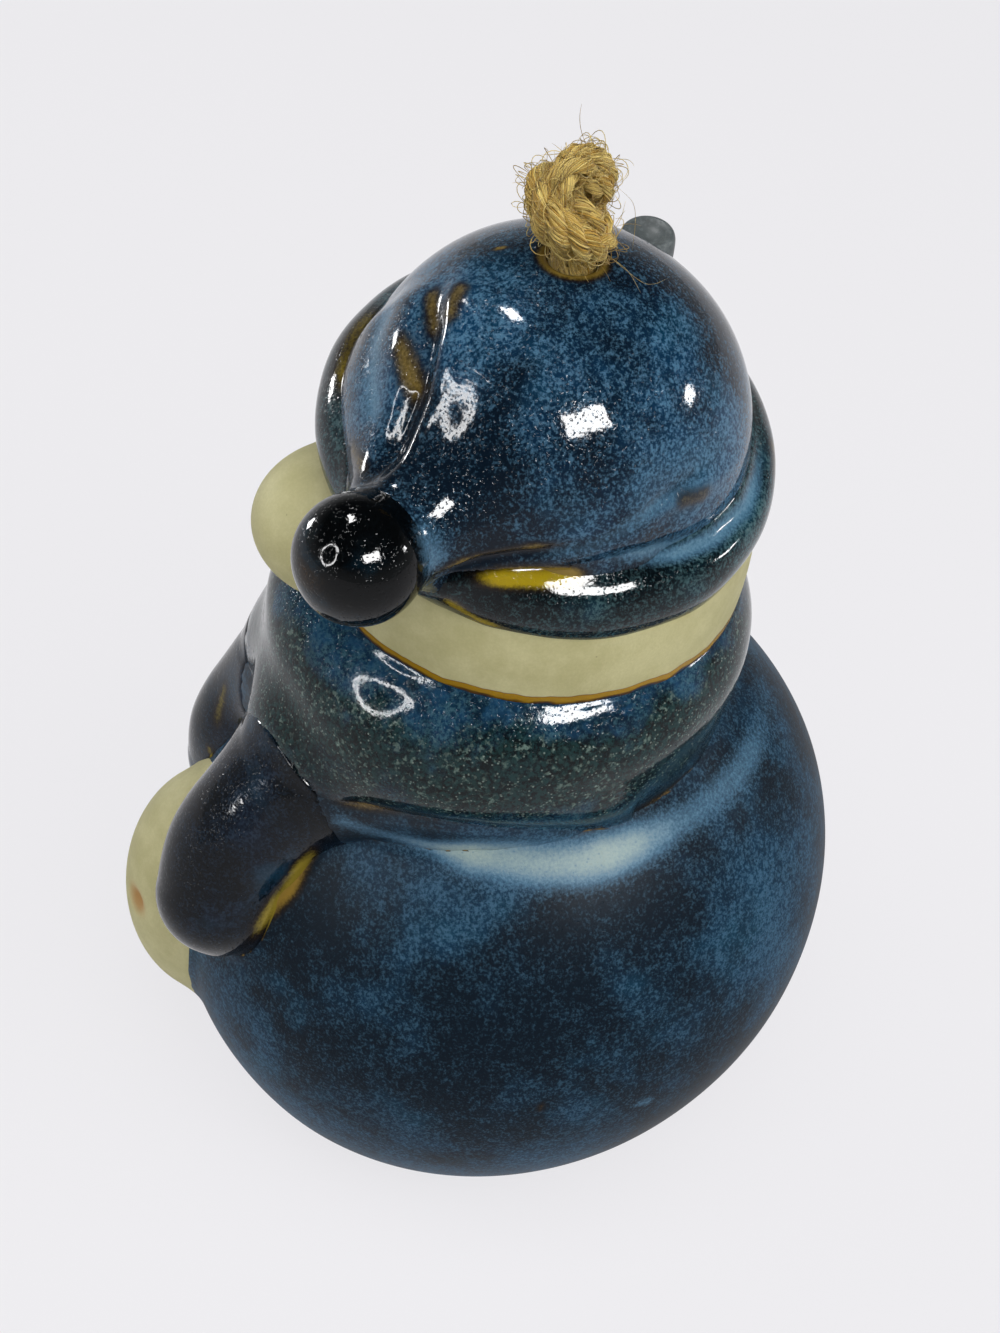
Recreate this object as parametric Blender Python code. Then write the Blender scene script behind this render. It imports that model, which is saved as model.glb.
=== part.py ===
"""Glazed stoneware snowman bell ornament with a jute cord and a clapper.

Metres, +Z up, the snowman faces -Y and its own left is +X. The bell stands on the
flat of its mouth at z = 0, and every thrown piece turns on the Z axis.
"""

import math

import bmesh
import bpy
from mathutils import Matrix, Vector

# Clearance between touching pieces
SEAT_GAP = 0.0003

# Bell body, thrown as a ball that is open below and leans back a little
BODY_RADIUS = 0.0427
BODY_CENTRE_Z = 0.0295
BODY_CENTRE_Y = 0.00135
BODY_LEAN = 0.116
BODY_WALL = 0.005
MOUTH_LIP = 0.005
LIP_ROUNDING = 0.001
SHOULDER_Z = BODY_CENTRE_Z + BODY_RADIUS

# Hat crown, a ball that closes the head
HAT_RADIUS = 0.0231
HAT_WALL = 0.004
CORD_HOLE_RADIUS = 0.0026

# Head, a barrel whose neck stands on the body's crown and whose top carries the hat
HEAD_BULGE = 0.0026
HEAD_TOP_STEP = 0.0001
HEAD_RADIUS = HAT_RADIUS + HEAD_BULGE
HEAD_TOP_RADIUS = HAT_RADIUS - HEAD_TOP_STEP
HEAD_WALL = 0.004
HEAD_NECK_RADIUS = 0.0228
HEAD_NECK_RISE = 0.0018
HEAD_HEIGHT = 0.0300
HEAD_WIDEST_DROP = 0.0102
HEAD_NECK_Z = SHOULDER_Z + HEAD_NECK_RISE
HEAD_TOP_Z = SHOULDER_Z + HEAD_HEIGHT
HEAD_WIDEST_Z = HEAD_TOP_Z - HEAD_WIDEST_DROP
NECK_LEDGE = 0.0030
NECK_HOLE_RADIUS = HEAD_NECK_RADIUS - NECK_LEDGE
HAT_CENTRE_RISE = 0.0029
HAT_CENTRE_Z = HEAD_TOP_Z + HAT_CENTRE_RISE
HAT_TOP_Z = HAT_CENTRE_Z + HAT_RADIUS

# Rolled hat brim, tipped up towards the snowman's right and front
BRIM_INSET = 0.0021
BRIM_RISE = 0.0004
BRIM_RING_RADIUS = HAT_RADIUS - BRIM_INSET
BRIM_ROLL_RADIUS = 0.0060
BRIM_CENTRE_Z = HEAD_TOP_Z + BRIM_RISE
BRIM_TILT = math.radians(11.5)
BRIM_HIGH_ANGLE = math.radians(-68)

# Hat tail that droops to the snowman's left and front, and its ball. The gather is
# given by its distance beyond the hat and its share of the hat's radius, the tip by
# its distance beyond the hat and its own radius.
TAIL_ANGLE = math.radians(46)
TAIL_GATHER = ((-0.0131, 0.8225), (-0.0081, 0.7273), (-0.0041, 0.5931))
TAIL_TIP = ((-0.0001, 0.0102), (0.0039, 0.0076), (0.0079, 0.0060), (0.0112, 0.0054))
POM_POM_RADIUS = 0.0074
POM_POM_REACH = HAT_RADIUS + TAIL_TIP[-1][0]
POM_POM_RISE = 0.0017
POM_POM_Z = HAT_CENTRE_Z + POM_POM_RISE

# Short second tip of the hat, at the back
STUB_ANGLE = math.radians(235)
STUB_INSET = 0.0019
STUB_DROP = 0.0092
STUB_REACH = HAT_RADIUS - STUB_INSET
STUB_TOP_Z = HAT_TOP_Z - STUB_DROP
STUB_RADIUS = 0.0031
STUB_DISH = 0.0008

# Scarf collar, an oval roll that leans outwards, set forward and lower in front
COLLAR_EASE = 0.0007
COLLAR_RISE = 0.0040
COLLAR_RING_RADIUS = HEAD_NECK_RADIUS + COLLAR_EASE
COLLAR_CENTRE_Z = SHOULDER_Z + COLLAR_RISE
COLLAR_HALF_LENGTH = 0.0114
COLLAR_HALF_THICKNESS = 0.0050
COLLAR_LEAN = math.radians(17.5)
COLLAR_FORWARD = 0.0019
COLLAR_DROP = 0.0016
COLLAR_FOOT = 0.0038
COLLAR_TUCK = 0.0029
COLLAR_FRONT_FOOT = 0.0050
COLLAR_FRONT_FLARE = 0.0020
COLLAR_INNER_LEDGE = 0.0040
COLLAR_INNER_EDGE = COLLAR_RING_RADIUS + COLLAR_INNER_LEDGE

# Nose, a blunt cone of bare clay
NOSE_DROP = 0.0020
NOSE_LENGTH = 0.0079
NOSE_Z = HEAD_WIDEST_Z - NOSE_DROP
NOSE_REACH = HEAD_RADIUS + NOSE_LENGTH
NOSE_HALF_WIDTH = 0.0105
NOSE_HALF_HEIGHT = 0.0092
NOSE_DEPTH = 0.0120

# Eyes
EYE_RADIUS = 0.0016
EYE_ANGLE = math.radians(27)
EYE_RISE = 0.0035
EYE_Z = HEAD_WIDEST_Z + EYE_RISE

# Belly
BELLY_SINK = 0.0067
BELLY_DROP = 0.0037
BELLY_CENTRE_Y = BELLY_SINK - BODY_RADIUS
BELLY_CENTRE_Z = BODY_CENTRE_Z - BELLY_DROP
BELLY_HALF_WIDTH = 0.0120
BELLY_HALF_DEPTH = 0.0124
BELLY_HALF_HEIGHT = 0.0192
NAVEL_ANGLE = math.radians(6)
NAVEL_STAND = 0.0048
NAVEL_RISE = 0.0021
NAVEL_REACH = BODY_RADIUS + NAVEL_STAND
NAVEL_Z = BELLY_CENTRE_Z + NAVEL_RISE
NAVEL_HALF_SIZE = 0.0018

# Sleeves: degrees from the front, degrees up the body's side, distance beyond the
# body's radius, and radius of each station
LEFT_SLEEVE = (
    (24.5, 49.1, -0.0007, 0.0074),
    (23.5, 43.4, -0.0009, 0.0081),
    (22, 35.2, -0.0009, 0.0085),
    (21.5, 26.1, -0.0006, 0.0084),
    (23.5, 17.9, -0.0004, 0.0080),
)
RIGHT_SLEEVE = (
    (-22.5, 52.3, -0.0019, 0.0063),
    (-21, 45.5, -0.0027, 0.0065),
    (-20, 33.9, -0.0042, 0.0069),
    (-19, 23.0, -0.0049, 0.0068),
    (-19, 14.2, -0.0057, 0.0061),
)

# Jute cord, its knots and the clapper. The knot's broad side faces KNOT_FACING.
CORD_RADIUS = 0.00175
KNOT_FACING = math.radians(78)
TOP_KNOT_RISE = 0.0052
TOP_KNOT_CENTRE = (-0.0015, 0.0, HAT_TOP_Z + TOP_KNOT_RISE)
TOP_KNOT_HALF_WIDTH = 0.0034
TOP_KNOT_HALF_HEIGHT = 0.0050
TOP_TURN_RADIUS = 0.0027
TOP_TURN_SLOPES = (math.radians(38), math.radians(-32))
TOP_TURN_HEIGHTS = (0.0015, -0.0010)
STOP_KNOT_RADIUS = 0.0036
STOP_KNOT_EASE = 0.0007
STOP_KNOT_Z = HAT_TOP_Z - HAT_WALL - STOP_KNOT_RADIUS - STOP_KNOT_EASE
CLAPPER_RADIUS = 0.0110
CLAPPER_CENTRE_Z = 0.0310
CLAPPER_BORE_RADIUS = 0.0022
END_KNOT_RADIUS = 0.0034
END_KNOT_Z = 0.0168
CORD_END_Z = 0.0095
# Loop points are (across the knot, out of it, height over its centre)
HANGING_LOOP = (
    (-0.0018, 0.0012, 0.0008),
    (-0.0026, 0.0009, 0.0032),
    (-0.0023, 0.0000, 0.0050),
    (-0.0009, -0.0014, 0.0057),
    (0.0007, -0.0032, 0.0048),
    (0.0017, -0.0049, 0.0024),
    (0.0016, -0.0056, -0.0002),
    (0.0004, -0.0038, -0.0020),
)

# The axis of the turned forms stands here, so that the object's box is centred
AXIS_X = 0.0
AXIS_Y = 0.00205

# Colours and finishes from the photograph
GLAZE_BLUE = (0.035, 0.075, 0.15)
GLAZE_DARK = (0.012, 0.018, 0.035)
GLAZE_GREEN = (0.02, 0.05, 0.06)
BARE_CLAY = (0.52, 0.50, 0.38)
JUTE = (0.50, 0.34, 0.15)
IRON_BROWN = (0.20, 0.08, 0.02)


def clear_scene():
    for old in list(bpy.data.objects):
        bpy.data.objects.remove(old)


def new_collection(name, hidden=False):
    collection = bpy.data.collections.new(name)
    bpy.context.scene.collection.children.link(collection)
    collection.hide_render = hidden
    return collection


def material(name, colour, roughness):
    made = bpy.data.materials.new(name)
    made.use_nodes = True
    surface = made.node_tree.nodes["Principled BSDF"]
    surface.inputs["Base Color"].default_value = (*colour, 1)
    surface.inputs["Roughness"].default_value = roughness
    surface.inputs["Metallic"].default_value = 0
    return made


def place(angle, reach, height):
    """The point at that angle from the front, towards the snowman's left."""
    return Vector((reach * math.sin(angle), -reach * math.cos(angle), height))


def add_object(name, mesh, group):
    made = bpy.data.objects.new(name, mesh)
    group.objects.link(made)
    return made


def finish(made, surface):
    made.data.materials.clear()
    made.data.materials.append(surface)
    if made.type == "MESH":
        made.data.shade_smooth()


def turned(name, profile, group, steps, lean=0.0, centre_y=0.0, level=0.0):
    """A closed outline of (radius, height) points, spun once round Z.

    lean moves each point back by that share of its height over level.
    """
    bm = bmesh.new()
    points = [bm.verts.new((radius, 0, height)) for radius, height in profile]
    edges = [bm.edges.new((v, points[(i + 1) % len(points)])) for i, v in enumerate(points)]
    bmesh.ops.spin(
        bm,
        geom=points + edges,
        cent=(0, 0, 0),
        axis=(0, 0, 1),
        angle=math.tau,
        steps=steps,
        use_merge=True,
    )
    bmesh.ops.remove_doubles(bm, verts=bm.verts, dist=0.000002)
    bmesh.ops.recalc_face_normals(bm, faces=bm.faces)
    move_back = Matrix.Translation((0, centre_y - lean * level, 0))
    shear = Matrix(((1, 0, 0, 0), (0, 1, lean, 0), (0, 0, 1, 0), (0, 0, 0, 1)))
    bmesh.ops.transform(bm, matrix=move_back @ shear, verts=bm.verts)
    mesh = bpy.data.meshes.new(name)
    bm.to_mesh(mesh)
    bm.free()
    return add_object(name, mesh, group)


def ellipsoid(name, centre, half_sizes, group, segments=28, rings=16, turn=None):
    bm = bmesh.new()
    bmesh.ops.create_uvsphere(bm, u_segments=segments, v_segments=rings, radius=1)
    matrix = Matrix.Diagonal((*half_sizes, 1))
    bmesh.ops.transform(bm, matrix=(turn or Matrix()) @ matrix, verts=bm.verts)
    mesh = bpy.data.meshes.new(name)
    bm.to_mesh(mesh)
    bm.free()
    made = add_object(name, mesh, group)
    made.location = centre
    return made


def smooth_route(stations, steps):
    """Points and radii on a smooth curve through the stations."""
    ends = [stations[0], *stations, stations[-1]]
    route = []
    for i in range(len(stations) - 1):
        before, start, end, after = ends[i : i + 4]
        for k in range(steps):
            t = k / steps
            weights = (
                (-t + 2 * t**2 - t**3) / 2,
                (2 - 5 * t**2 + 3 * t**3) / 2,
                (t + 4 * t**2 - 3 * t**3) / 2,
                (-(t**2) + t**3) / 2,
            )
            near = (before, start, end, after)
            point = sum((w * s[0] for w, s in zip(weights, near)), Vector())
            radius = sum(w * s[1] for w, s in zip(weights, near))
            route.append((point, radius))
    route.append(stations[-1])
    return route


def rounded_end(point, radius, direction, steps=5):
    """The stations of a half ball beyond an end."""
    cap = []
    for i in range(1, steps + 1):
        angle = math.radians(90) * i / (steps + 0.35)
        centre = point + direction * radius * math.sin(angle)
        cap.append((centre, radius * math.cos(angle)))
    return cap


def swept(name, stations, group, steps=4, round_start=False, round_end=True, sides=5, grow=0):
    """A round form of changing radius along a smooth route, as a closed mesh."""
    route = smooth_route([(point, radius + grow) for point, radius in stations], steps)
    if round_end:
        direction = (route[-1][0] - route[-2][0]).normalized()
        route = route + rounded_end(*route[-1], direction)
    if round_start:
        direction = (route[0][0] - route[1][0]).normalized()
        route = rounded_end(*route[0], direction)[::-1] + route
    curve = bpy.data.curves.new(name, "CURVE")
    curve.dimensions = "3D"
    curve.bevel_depth = 0.001
    curve.bevel_resolution = sides
    curve.use_fill_caps = True
    spline = curve.splines.new("POLY")
    spline.points.add(len(route) - 1)
    for knot, (point, radius) in zip(spline.points, route):
        knot.co = (*point, 1)
        knot.radius = radius / 0.001
    guide = bpy.data.objects.new(name + "_route", curve)
    bpy.context.scene.collection.objects.link(guide)
    bpy.context.view_layer.update()
    graph = bpy.context.evaluated_depsgraph_get()
    mesh = bpy.data.meshes.new_from_object(guide.evaluated_get(graph))
    bpy.data.objects.remove(guide)
    bm = bmesh.new()
    bm.from_mesh(mesh)
    bmesh.ops.remove_doubles(bm, verts=bm.verts, dist=0.000001)
    bmesh.ops.recalc_face_normals(bm, faces=bm.faces)
    bm.to_mesh(mesh)
    bm.free()
    mesh.name = name
    return add_object(name, mesh, group)


def tube(name, points, radius, group):
    """A plain cord along a route of points."""
    curve = bpy.data.curves.new(name, "CURVE")
    curve.dimensions = "3D"
    curve.bevel_depth = radius
    curve.bevel_resolution = 2
    curve.use_fill_caps = True
    spline = curve.splines.new("POLY")
    spline.points.add(len(points) - 1)
    for knot, point in zip(spline.points, points):
        knot.co = (*point, 1)
    return add_object(name, curve, group)


def combine(made, other, operation):
    other.display_type = "WIRE"
    other.hide_render = True
    boolean = made.modifiers.new(f"{operation.title()} {other.name}", "BOOLEAN")
    boolean.operation = operation
    boolean.object = other
    boolean.solver = "EXACT"


def cut(made, *cutters):
    for cutter in cutters:
        combine(made, cutter, "DIFFERENCE")


def arc(centre_z, radius, start, end, steps):
    """(radius, height) points of a round stretch, angles from the level."""
    found = []
    for i in range(steps + 1):
        angle = start + (end - start) * i / steps
        reach = max(radius * math.cos(angle), 0.0)
        found.append((reach, centre_z + radius * math.sin(angle)))
    return found


def leaning(name, profile, group, steps):
    return turned(name, profile, group, steps, BODY_LEAN, BODY_CENTRE_Y, BODY_CENTRE_Z)


def bell_body(group):
    inner = BODY_RADIUS - BODY_WALL
    top = math.radians(90)
    foot = math.asin((LIP_ROUNDING - BODY_CENTRE_Z) / BODY_RADIUS)
    outer_edge = BODY_RADIUS * math.cos(foot)
    inner_edge = outer_edge - MOUTH_LIP
    inner_foot = -math.acos(inner_edge / inner)
    profile = arc(BODY_CENTRE_Z, BODY_RADIUS, top, foot, 20)
    profile += [(outer_edge - LIP_ROUNDING, 0), (inner_edge + LIP_ROUNDING / 2, 0)]
    profile += [(inner_edge, LIP_ROUNDING / 2)]
    profile += arc(BODY_CENTRE_Z, inner, inner_foot, top, 14)
    return leaning("bell_body", profile, group, 52)


def body_space(cutters):
    """The bell's outer form with its seat gap, as a cutter."""
    radius = BODY_RADIUS + SEAT_GAP
    top = math.radians(90)
    return leaning("body_space", arc(BODY_CENTRE_Z, radius, top, -top, 32), cutters, 52)


def neck_hole(cutters):
    low = BODY_CENTRE_Z + BODY_RADIUS / 2
    high = BODY_CENTRE_Z + BODY_RADIUS * 1.2
    profile = [(0, high), (NECK_HOLE_RADIUS, high), (NECK_HOLE_RADIUS, low), (0, low)]
    return turned("neck_hole", profile, cutters, 44)


def head_radius(height):
    """The barrel's outer radius: a parabola from the widest level to each end."""
    if height < HEAD_NECK_Z:
        return HEAD_NECK_RADIUS
    if height < HEAD_WIDEST_Z:
        share = (HEAD_WIDEST_Z - height) / (HEAD_WIDEST_Z - HEAD_NECK_Z)
        return HEAD_RADIUS - (HEAD_RADIUS - HEAD_NECK_RADIUS) * share**2
    share = (height - HEAD_WIDEST_Z) / (HEAD_TOP_Z - HEAD_WIDEST_Z)
    return HEAD_RADIUS - (HEAD_RADIUS - HEAD_TOP_RADIUS) * share**2


def head_heights(levels=8):
    return [HEAD_TOP_Z + (HEAD_NECK_Z - HEAD_TOP_Z) * i / levels for i in range(levels + 1)]


def head(group):
    """The hollow barrel. Its neck runs into the body's form, which cuts it to its seat."""
    bottom = BODY_CENTRE_Z + BODY_RADIUS / 2
    profile = [(head_radius(height), height) for height in head_heights()]
    profile += [(HEAD_NECK_RADIUS, bottom), (NECK_HOLE_RADIUS, bottom)]
    for height in reversed(head_heights()):
        profile.append((max(head_radius(height) - HEAD_WALL, NECK_HOLE_RADIUS), height))
    return turned("head", profile, group, 44)


def head_space(cutters):
    """The head and hat crown's outer form with its seat gap, as a cutter."""
    bottom = BODY_CENTRE_Z
    edge = math.asin((HEAD_TOP_Z - HAT_CENTRE_Z) / HAT_RADIUS)
    profile = arc(HAT_CENTRE_Z, HAT_RADIUS + SEAT_GAP, math.radians(90), edge, 16)
    for height in head_heights()[1:]:
        profile.append((head_radius(height) + SEAT_GAP, height))
    profile += [(HEAD_NECK_RADIUS + SEAT_GAP, bottom), (0.0, bottom)]
    return turned("head_space", profile, cutters, 44)


def hat_crown(group):
    inner = HAT_RADIUS - HAT_WALL
    edge_z = HEAD_TOP_Z + SEAT_GAP - HAT_CENTRE_Z
    top = math.acos(CORD_HOLE_RADIUS / HAT_RADIUS)
    inner_top = math.acos(CORD_HOLE_RADIUS / inner)
    profile = arc(HAT_CENTRE_Z, HAT_RADIUS, top, math.asin(edge_z / HAT_RADIUS), 12)
    profile += arc(HAT_CENTRE_Z, inner, math.asin(edge_z / inner), inner_top, 9)
    return turned("hat_crown", profile, group, 44)


def collar_section(angle, grow):
    """(radius, height) points of the collar's section at that angle from the front."""
    ring = COLLAR_RING_RADIUS + COLLAR_FORWARD * math.cos(angle)
    level = COLLAR_CENTRE_Z - COLLAR_DROP * math.cos(angle)
    length = COLLAR_HALF_LENGTH + grow
    thickness = COLLAR_HALF_THICKNESS + grow
    front = max(math.cos(angle), 0.0) ** 2
    steps = 14
    section = []
    for k in range(steps):
        turn = math.tau * k / steps
        along = length * math.cos(turn)
        across = thickness * math.sin(turn)
        reach = ring - along * math.sin(COLLAR_LEAN) + across * math.cos(COLLAR_LEAN)
        height = level + along * math.cos(COLLAR_LEAN) + across * math.sin(COLLAR_LEAN)
        low = max(-math.cos(turn), 0.0) ** 2
        reach += low * (COLLAR_FRONT_FLARE * front - COLLAR_TUCK * (1 - front))
        height -= low * (COLLAR_FOOT + COLLAR_FRONT_FOOT * front)
        section.append((reach, height))
    return section


def collar_form(name, group, grow=0.0):
    """Sections set round the axis and bridged into one closed ring."""
    ring_steps = 44
    bm = bmesh.new()
    loops = []
    for i in range(ring_steps):
        angle = math.tau * i / ring_steps
        points = [bm.verts.new(place(angle, *point)) for point in collar_section(angle, grow)]
        count = len(points)
        loops.append([bm.edges.new((points[k], points[(k + 1) % count])) for k in range(count)])
    for i, loop in enumerate(loops):
        bmesh.ops.bridge_loops(bm, edges=loop + loops[(i + 1) % ring_steps])
    bmesh.ops.recalc_face_normals(bm, faces=bm.faces)
    mesh = bpy.data.meshes.new(name)
    bm.to_mesh(mesh)
    bm.free()
    return add_object(name, mesh, group)


def under_collar(cutters):
    """The hidden space inside the collar's foot, which the sleeves stay out of."""
    low = BODY_CENTRE_Z
    profile = [(0, COLLAR_CENTRE_Z), (COLLAR_INNER_EDGE, COLLAR_CENTRE_Z)]
    profile += [(COLLAR_INNER_EDGE, low), (0, low)]
    return turned("under_collar", profile, cutters, 44)


def brim_form(name, group, grow=0.0):
    bpy.ops.mesh.primitive_torus_add(
        major_segments=44,
        minor_segments=14,
        major_radius=BRIM_RING_RADIUS,
        minor_radius=BRIM_ROLL_RADIUS + grow,
    )
    made = bpy.context.object
    for holder in list(made.users_collection):
        holder.objects.unlink(made)
    group.objects.link(made)
    made.name = name
    made.location = (0, 0, BRIM_CENTRE_Z)
    made.rotation_mode = "AXIS_ANGLE"
    made.rotation_axis_angle = (BRIM_TILT, *place(BRIM_HIGH_ANGLE - math.radians(90), 1, 0))
    return made


def tail_form(name, group, grow=0.0):
    """The gathered tail: as wide as the crown at its root, narrow where the ball sits."""
    rise = (POM_POM_Z - HAT_CENTRE_Z) / POM_POM_REACH
    stations = []
    gather = [(beyond, share * HAT_RADIUS) for beyond, share in TAIL_GATHER]
    for beyond, radius in (*gather, *TAIL_TIP):
        reach = HAT_RADIUS + beyond
        stations.append((place(TAIL_ANGLE, reach, HAT_CENTRE_Z + rise * reach), radius))
    return swept(name, stations, group, steps=2, round_end=False, sides=12, grow=grow)


def pom_pom_form(name, group, grow=0.0):
    centre = place(TAIL_ANGLE, POM_POM_REACH, POM_POM_Z)
    return ellipsoid(name, centre, (POM_POM_RADIUS + grow,) * 3, group, 24, 14)


def stub(group):
    top = place(STUB_ANGLE, STUB_REACH, STUB_TOP_Z)
    base = place(STUB_ANGLE, STUB_REACH + 0.0015, BRIM_CENTRE_Z + 0.001)
    stations = [
        (base, STUB_RADIUS * 1.25),
        (base.lerp(top, 0.5), STUB_RADIUS),
        (base.lerp(top, 0.85), STUB_RADIUS * 1.08),
        (top, STUB_RADIUS * 0.98),
    ]
    return swept("hat_stub", stations, group, steps=3, round_end=False, sides=5)


def stub_dish(cutters):
    top = place(STUB_ANGLE, STUB_REACH, STUB_TOP_Z)
    size = STUB_RADIUS * 0.72
    return ellipsoid("stub_dish", top, (size, size, STUB_DISH), cutters, 20, 10)


def sleeve_form(name, stations, group, grow=0.0):
    route = []
    for degrees, lift, beyond, radius in stations:
        out = BODY_RADIUS + beyond
        reach = out * math.cos(math.radians(lift))
        height = BODY_CENTRE_Z + out * math.sin(math.radians(lift))
        route.append((place(math.radians(degrees), reach, height), radius))
    return swept(name, route, group, steps=4, round_start=False, round_end=True, sides=6, grow=grow)


def belly_form(name, group, grow=0.0):
    halves = (BELLY_HALF_WIDTH + grow, BELLY_HALF_DEPTH + grow, BELLY_HALF_HEIGHT + grow)
    return ellipsoid(name, (0, BELLY_CENTRE_Y, BELLY_CENTRE_Z), halves, group, 26, 18)


def nose(group):
    centre = Vector((0, -NOSE_REACH + NOSE_DEPTH, NOSE_Z))
    halves = (NOSE_HALF_WIDTH, NOSE_DEPTH, NOSE_HALF_HEIGHT)
    return ellipsoid("nose", centre, halves, group, 24, 16)


def eye(name, side, group):
    angle = side * EYE_ANGLE
    centre = place(angle, head_radius(EYE_Z) + EYE_RADIUS * 0.2, EYE_Z)
    return ellipsoid(name, centre, (EYE_RADIUS,) * 3, group, 14, 10)


def at_knot(across, outwards, height):
    """A point beside the cord: across the knot's broad side, then out of it."""
    side = place(KNOT_FACING + math.radians(90), across, 0)
    return side + place(KNOT_FACING, outwards, height)


def ring(name, centre, ring_radius, slope, group, grow=0.0):
    """One turn of the cord: it lies level, then tips by slope across the broad side."""
    bpy.ops.mesh.primitive_torus_add(
        major_segments=24,
        minor_segments=10,
        major_radius=ring_radius,
        minor_radius=CORD_RADIUS + grow,
    )
    made = bpy.context.object
    for holder in list(made.users_collection):
        holder.objects.unlink(made)
    group.objects.link(made)
    made.name = name
    made.location = centre
    made.rotation_mode = "AXIS_ANGLE"
    made.rotation_axis_angle = (slope, *place(KNOT_FACING, 1, 0))
    return made


def straight(name, top, bottom, radius, group, sides=2):
    stations = [(Vector((0, 0, top)), radius), (Vector((0, 0, bottom)), radius)]
    return swept(name, stations, group, steps=1, round_end=False, sides=sides)


def knot_turns(name, group, grow=0.0):
    across, outwards, height = TOP_KNOT_CENTRE
    made = []
    for number, (slope, rise) in enumerate(zip(TOP_TURN_SLOPES, TOP_TURN_HEIGHTS), 1):
        middle = at_knot(across, outwards, height + rise)
        made.append(ring(f"{name}_{number}", middle, TOP_TURN_RADIUS, slope, group, grow))
    return made


def knot_core(name, group, grow=0.0):
    wide = TOP_KNOT_HALF_WIDTH + grow
    halves = (wide, wide, TOP_KNOT_HALF_HEIGHT + grow)
    return ellipsoid(name, at_knot(*TOP_KNOT_CENTRE), halves, group, 18, 12)


def top_knot(group, cutters):
    """An overhand knot: a core, two turns over it and the cord down through the hole."""
    made = knot_core("top_knot", group)
    for turn in knot_turns("top_turn", cutters):
        combine(made, turn, "UNION")
    foot = STOP_KNOT_Z + STOP_KNOT_RADIUS + SEAT_GAP
    stem = straight("cord_in_hole", TOP_KNOT_CENTRE[2], foot, CORD_RADIUS, cutters)
    combine(made, stem, "UNION")
    return made


def small_knot(name, height, radius, slope, group, cutters):
    """A knot of one turn with the cord pulled tight through it."""
    made = ellipsoid(name, (0, 0, height), (radius * 0.9, radius * 0.9, radius), group, 18, 12)
    turn = ring(name + "_turn", (0, 0, height), radius - CORD_RADIUS, slope, cutters)
    combine(made, turn, "UNION")
    return made


def clapper(group):
    rim = CLAPPER_CENTRE_Z
    start = math.acos(CLAPPER_BORE_RADIUS / CLAPPER_RADIUS)
    profile = arc(rim, CLAPPER_RADIUS, start, -start, 16)
    return turned("clapper", profile, group, 32)


def hanging_loop(group):
    stations = []
    for across, outwards, height in HANGING_LOOP:
        point = at_knot(across, outwards, TOP_KNOT_CENTRE[2] + height)
        stations.append((point, CORD_RADIUS))
    return swept("hanging_loop", stations, group, steps=4, round_end=False, sides=2)


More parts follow.
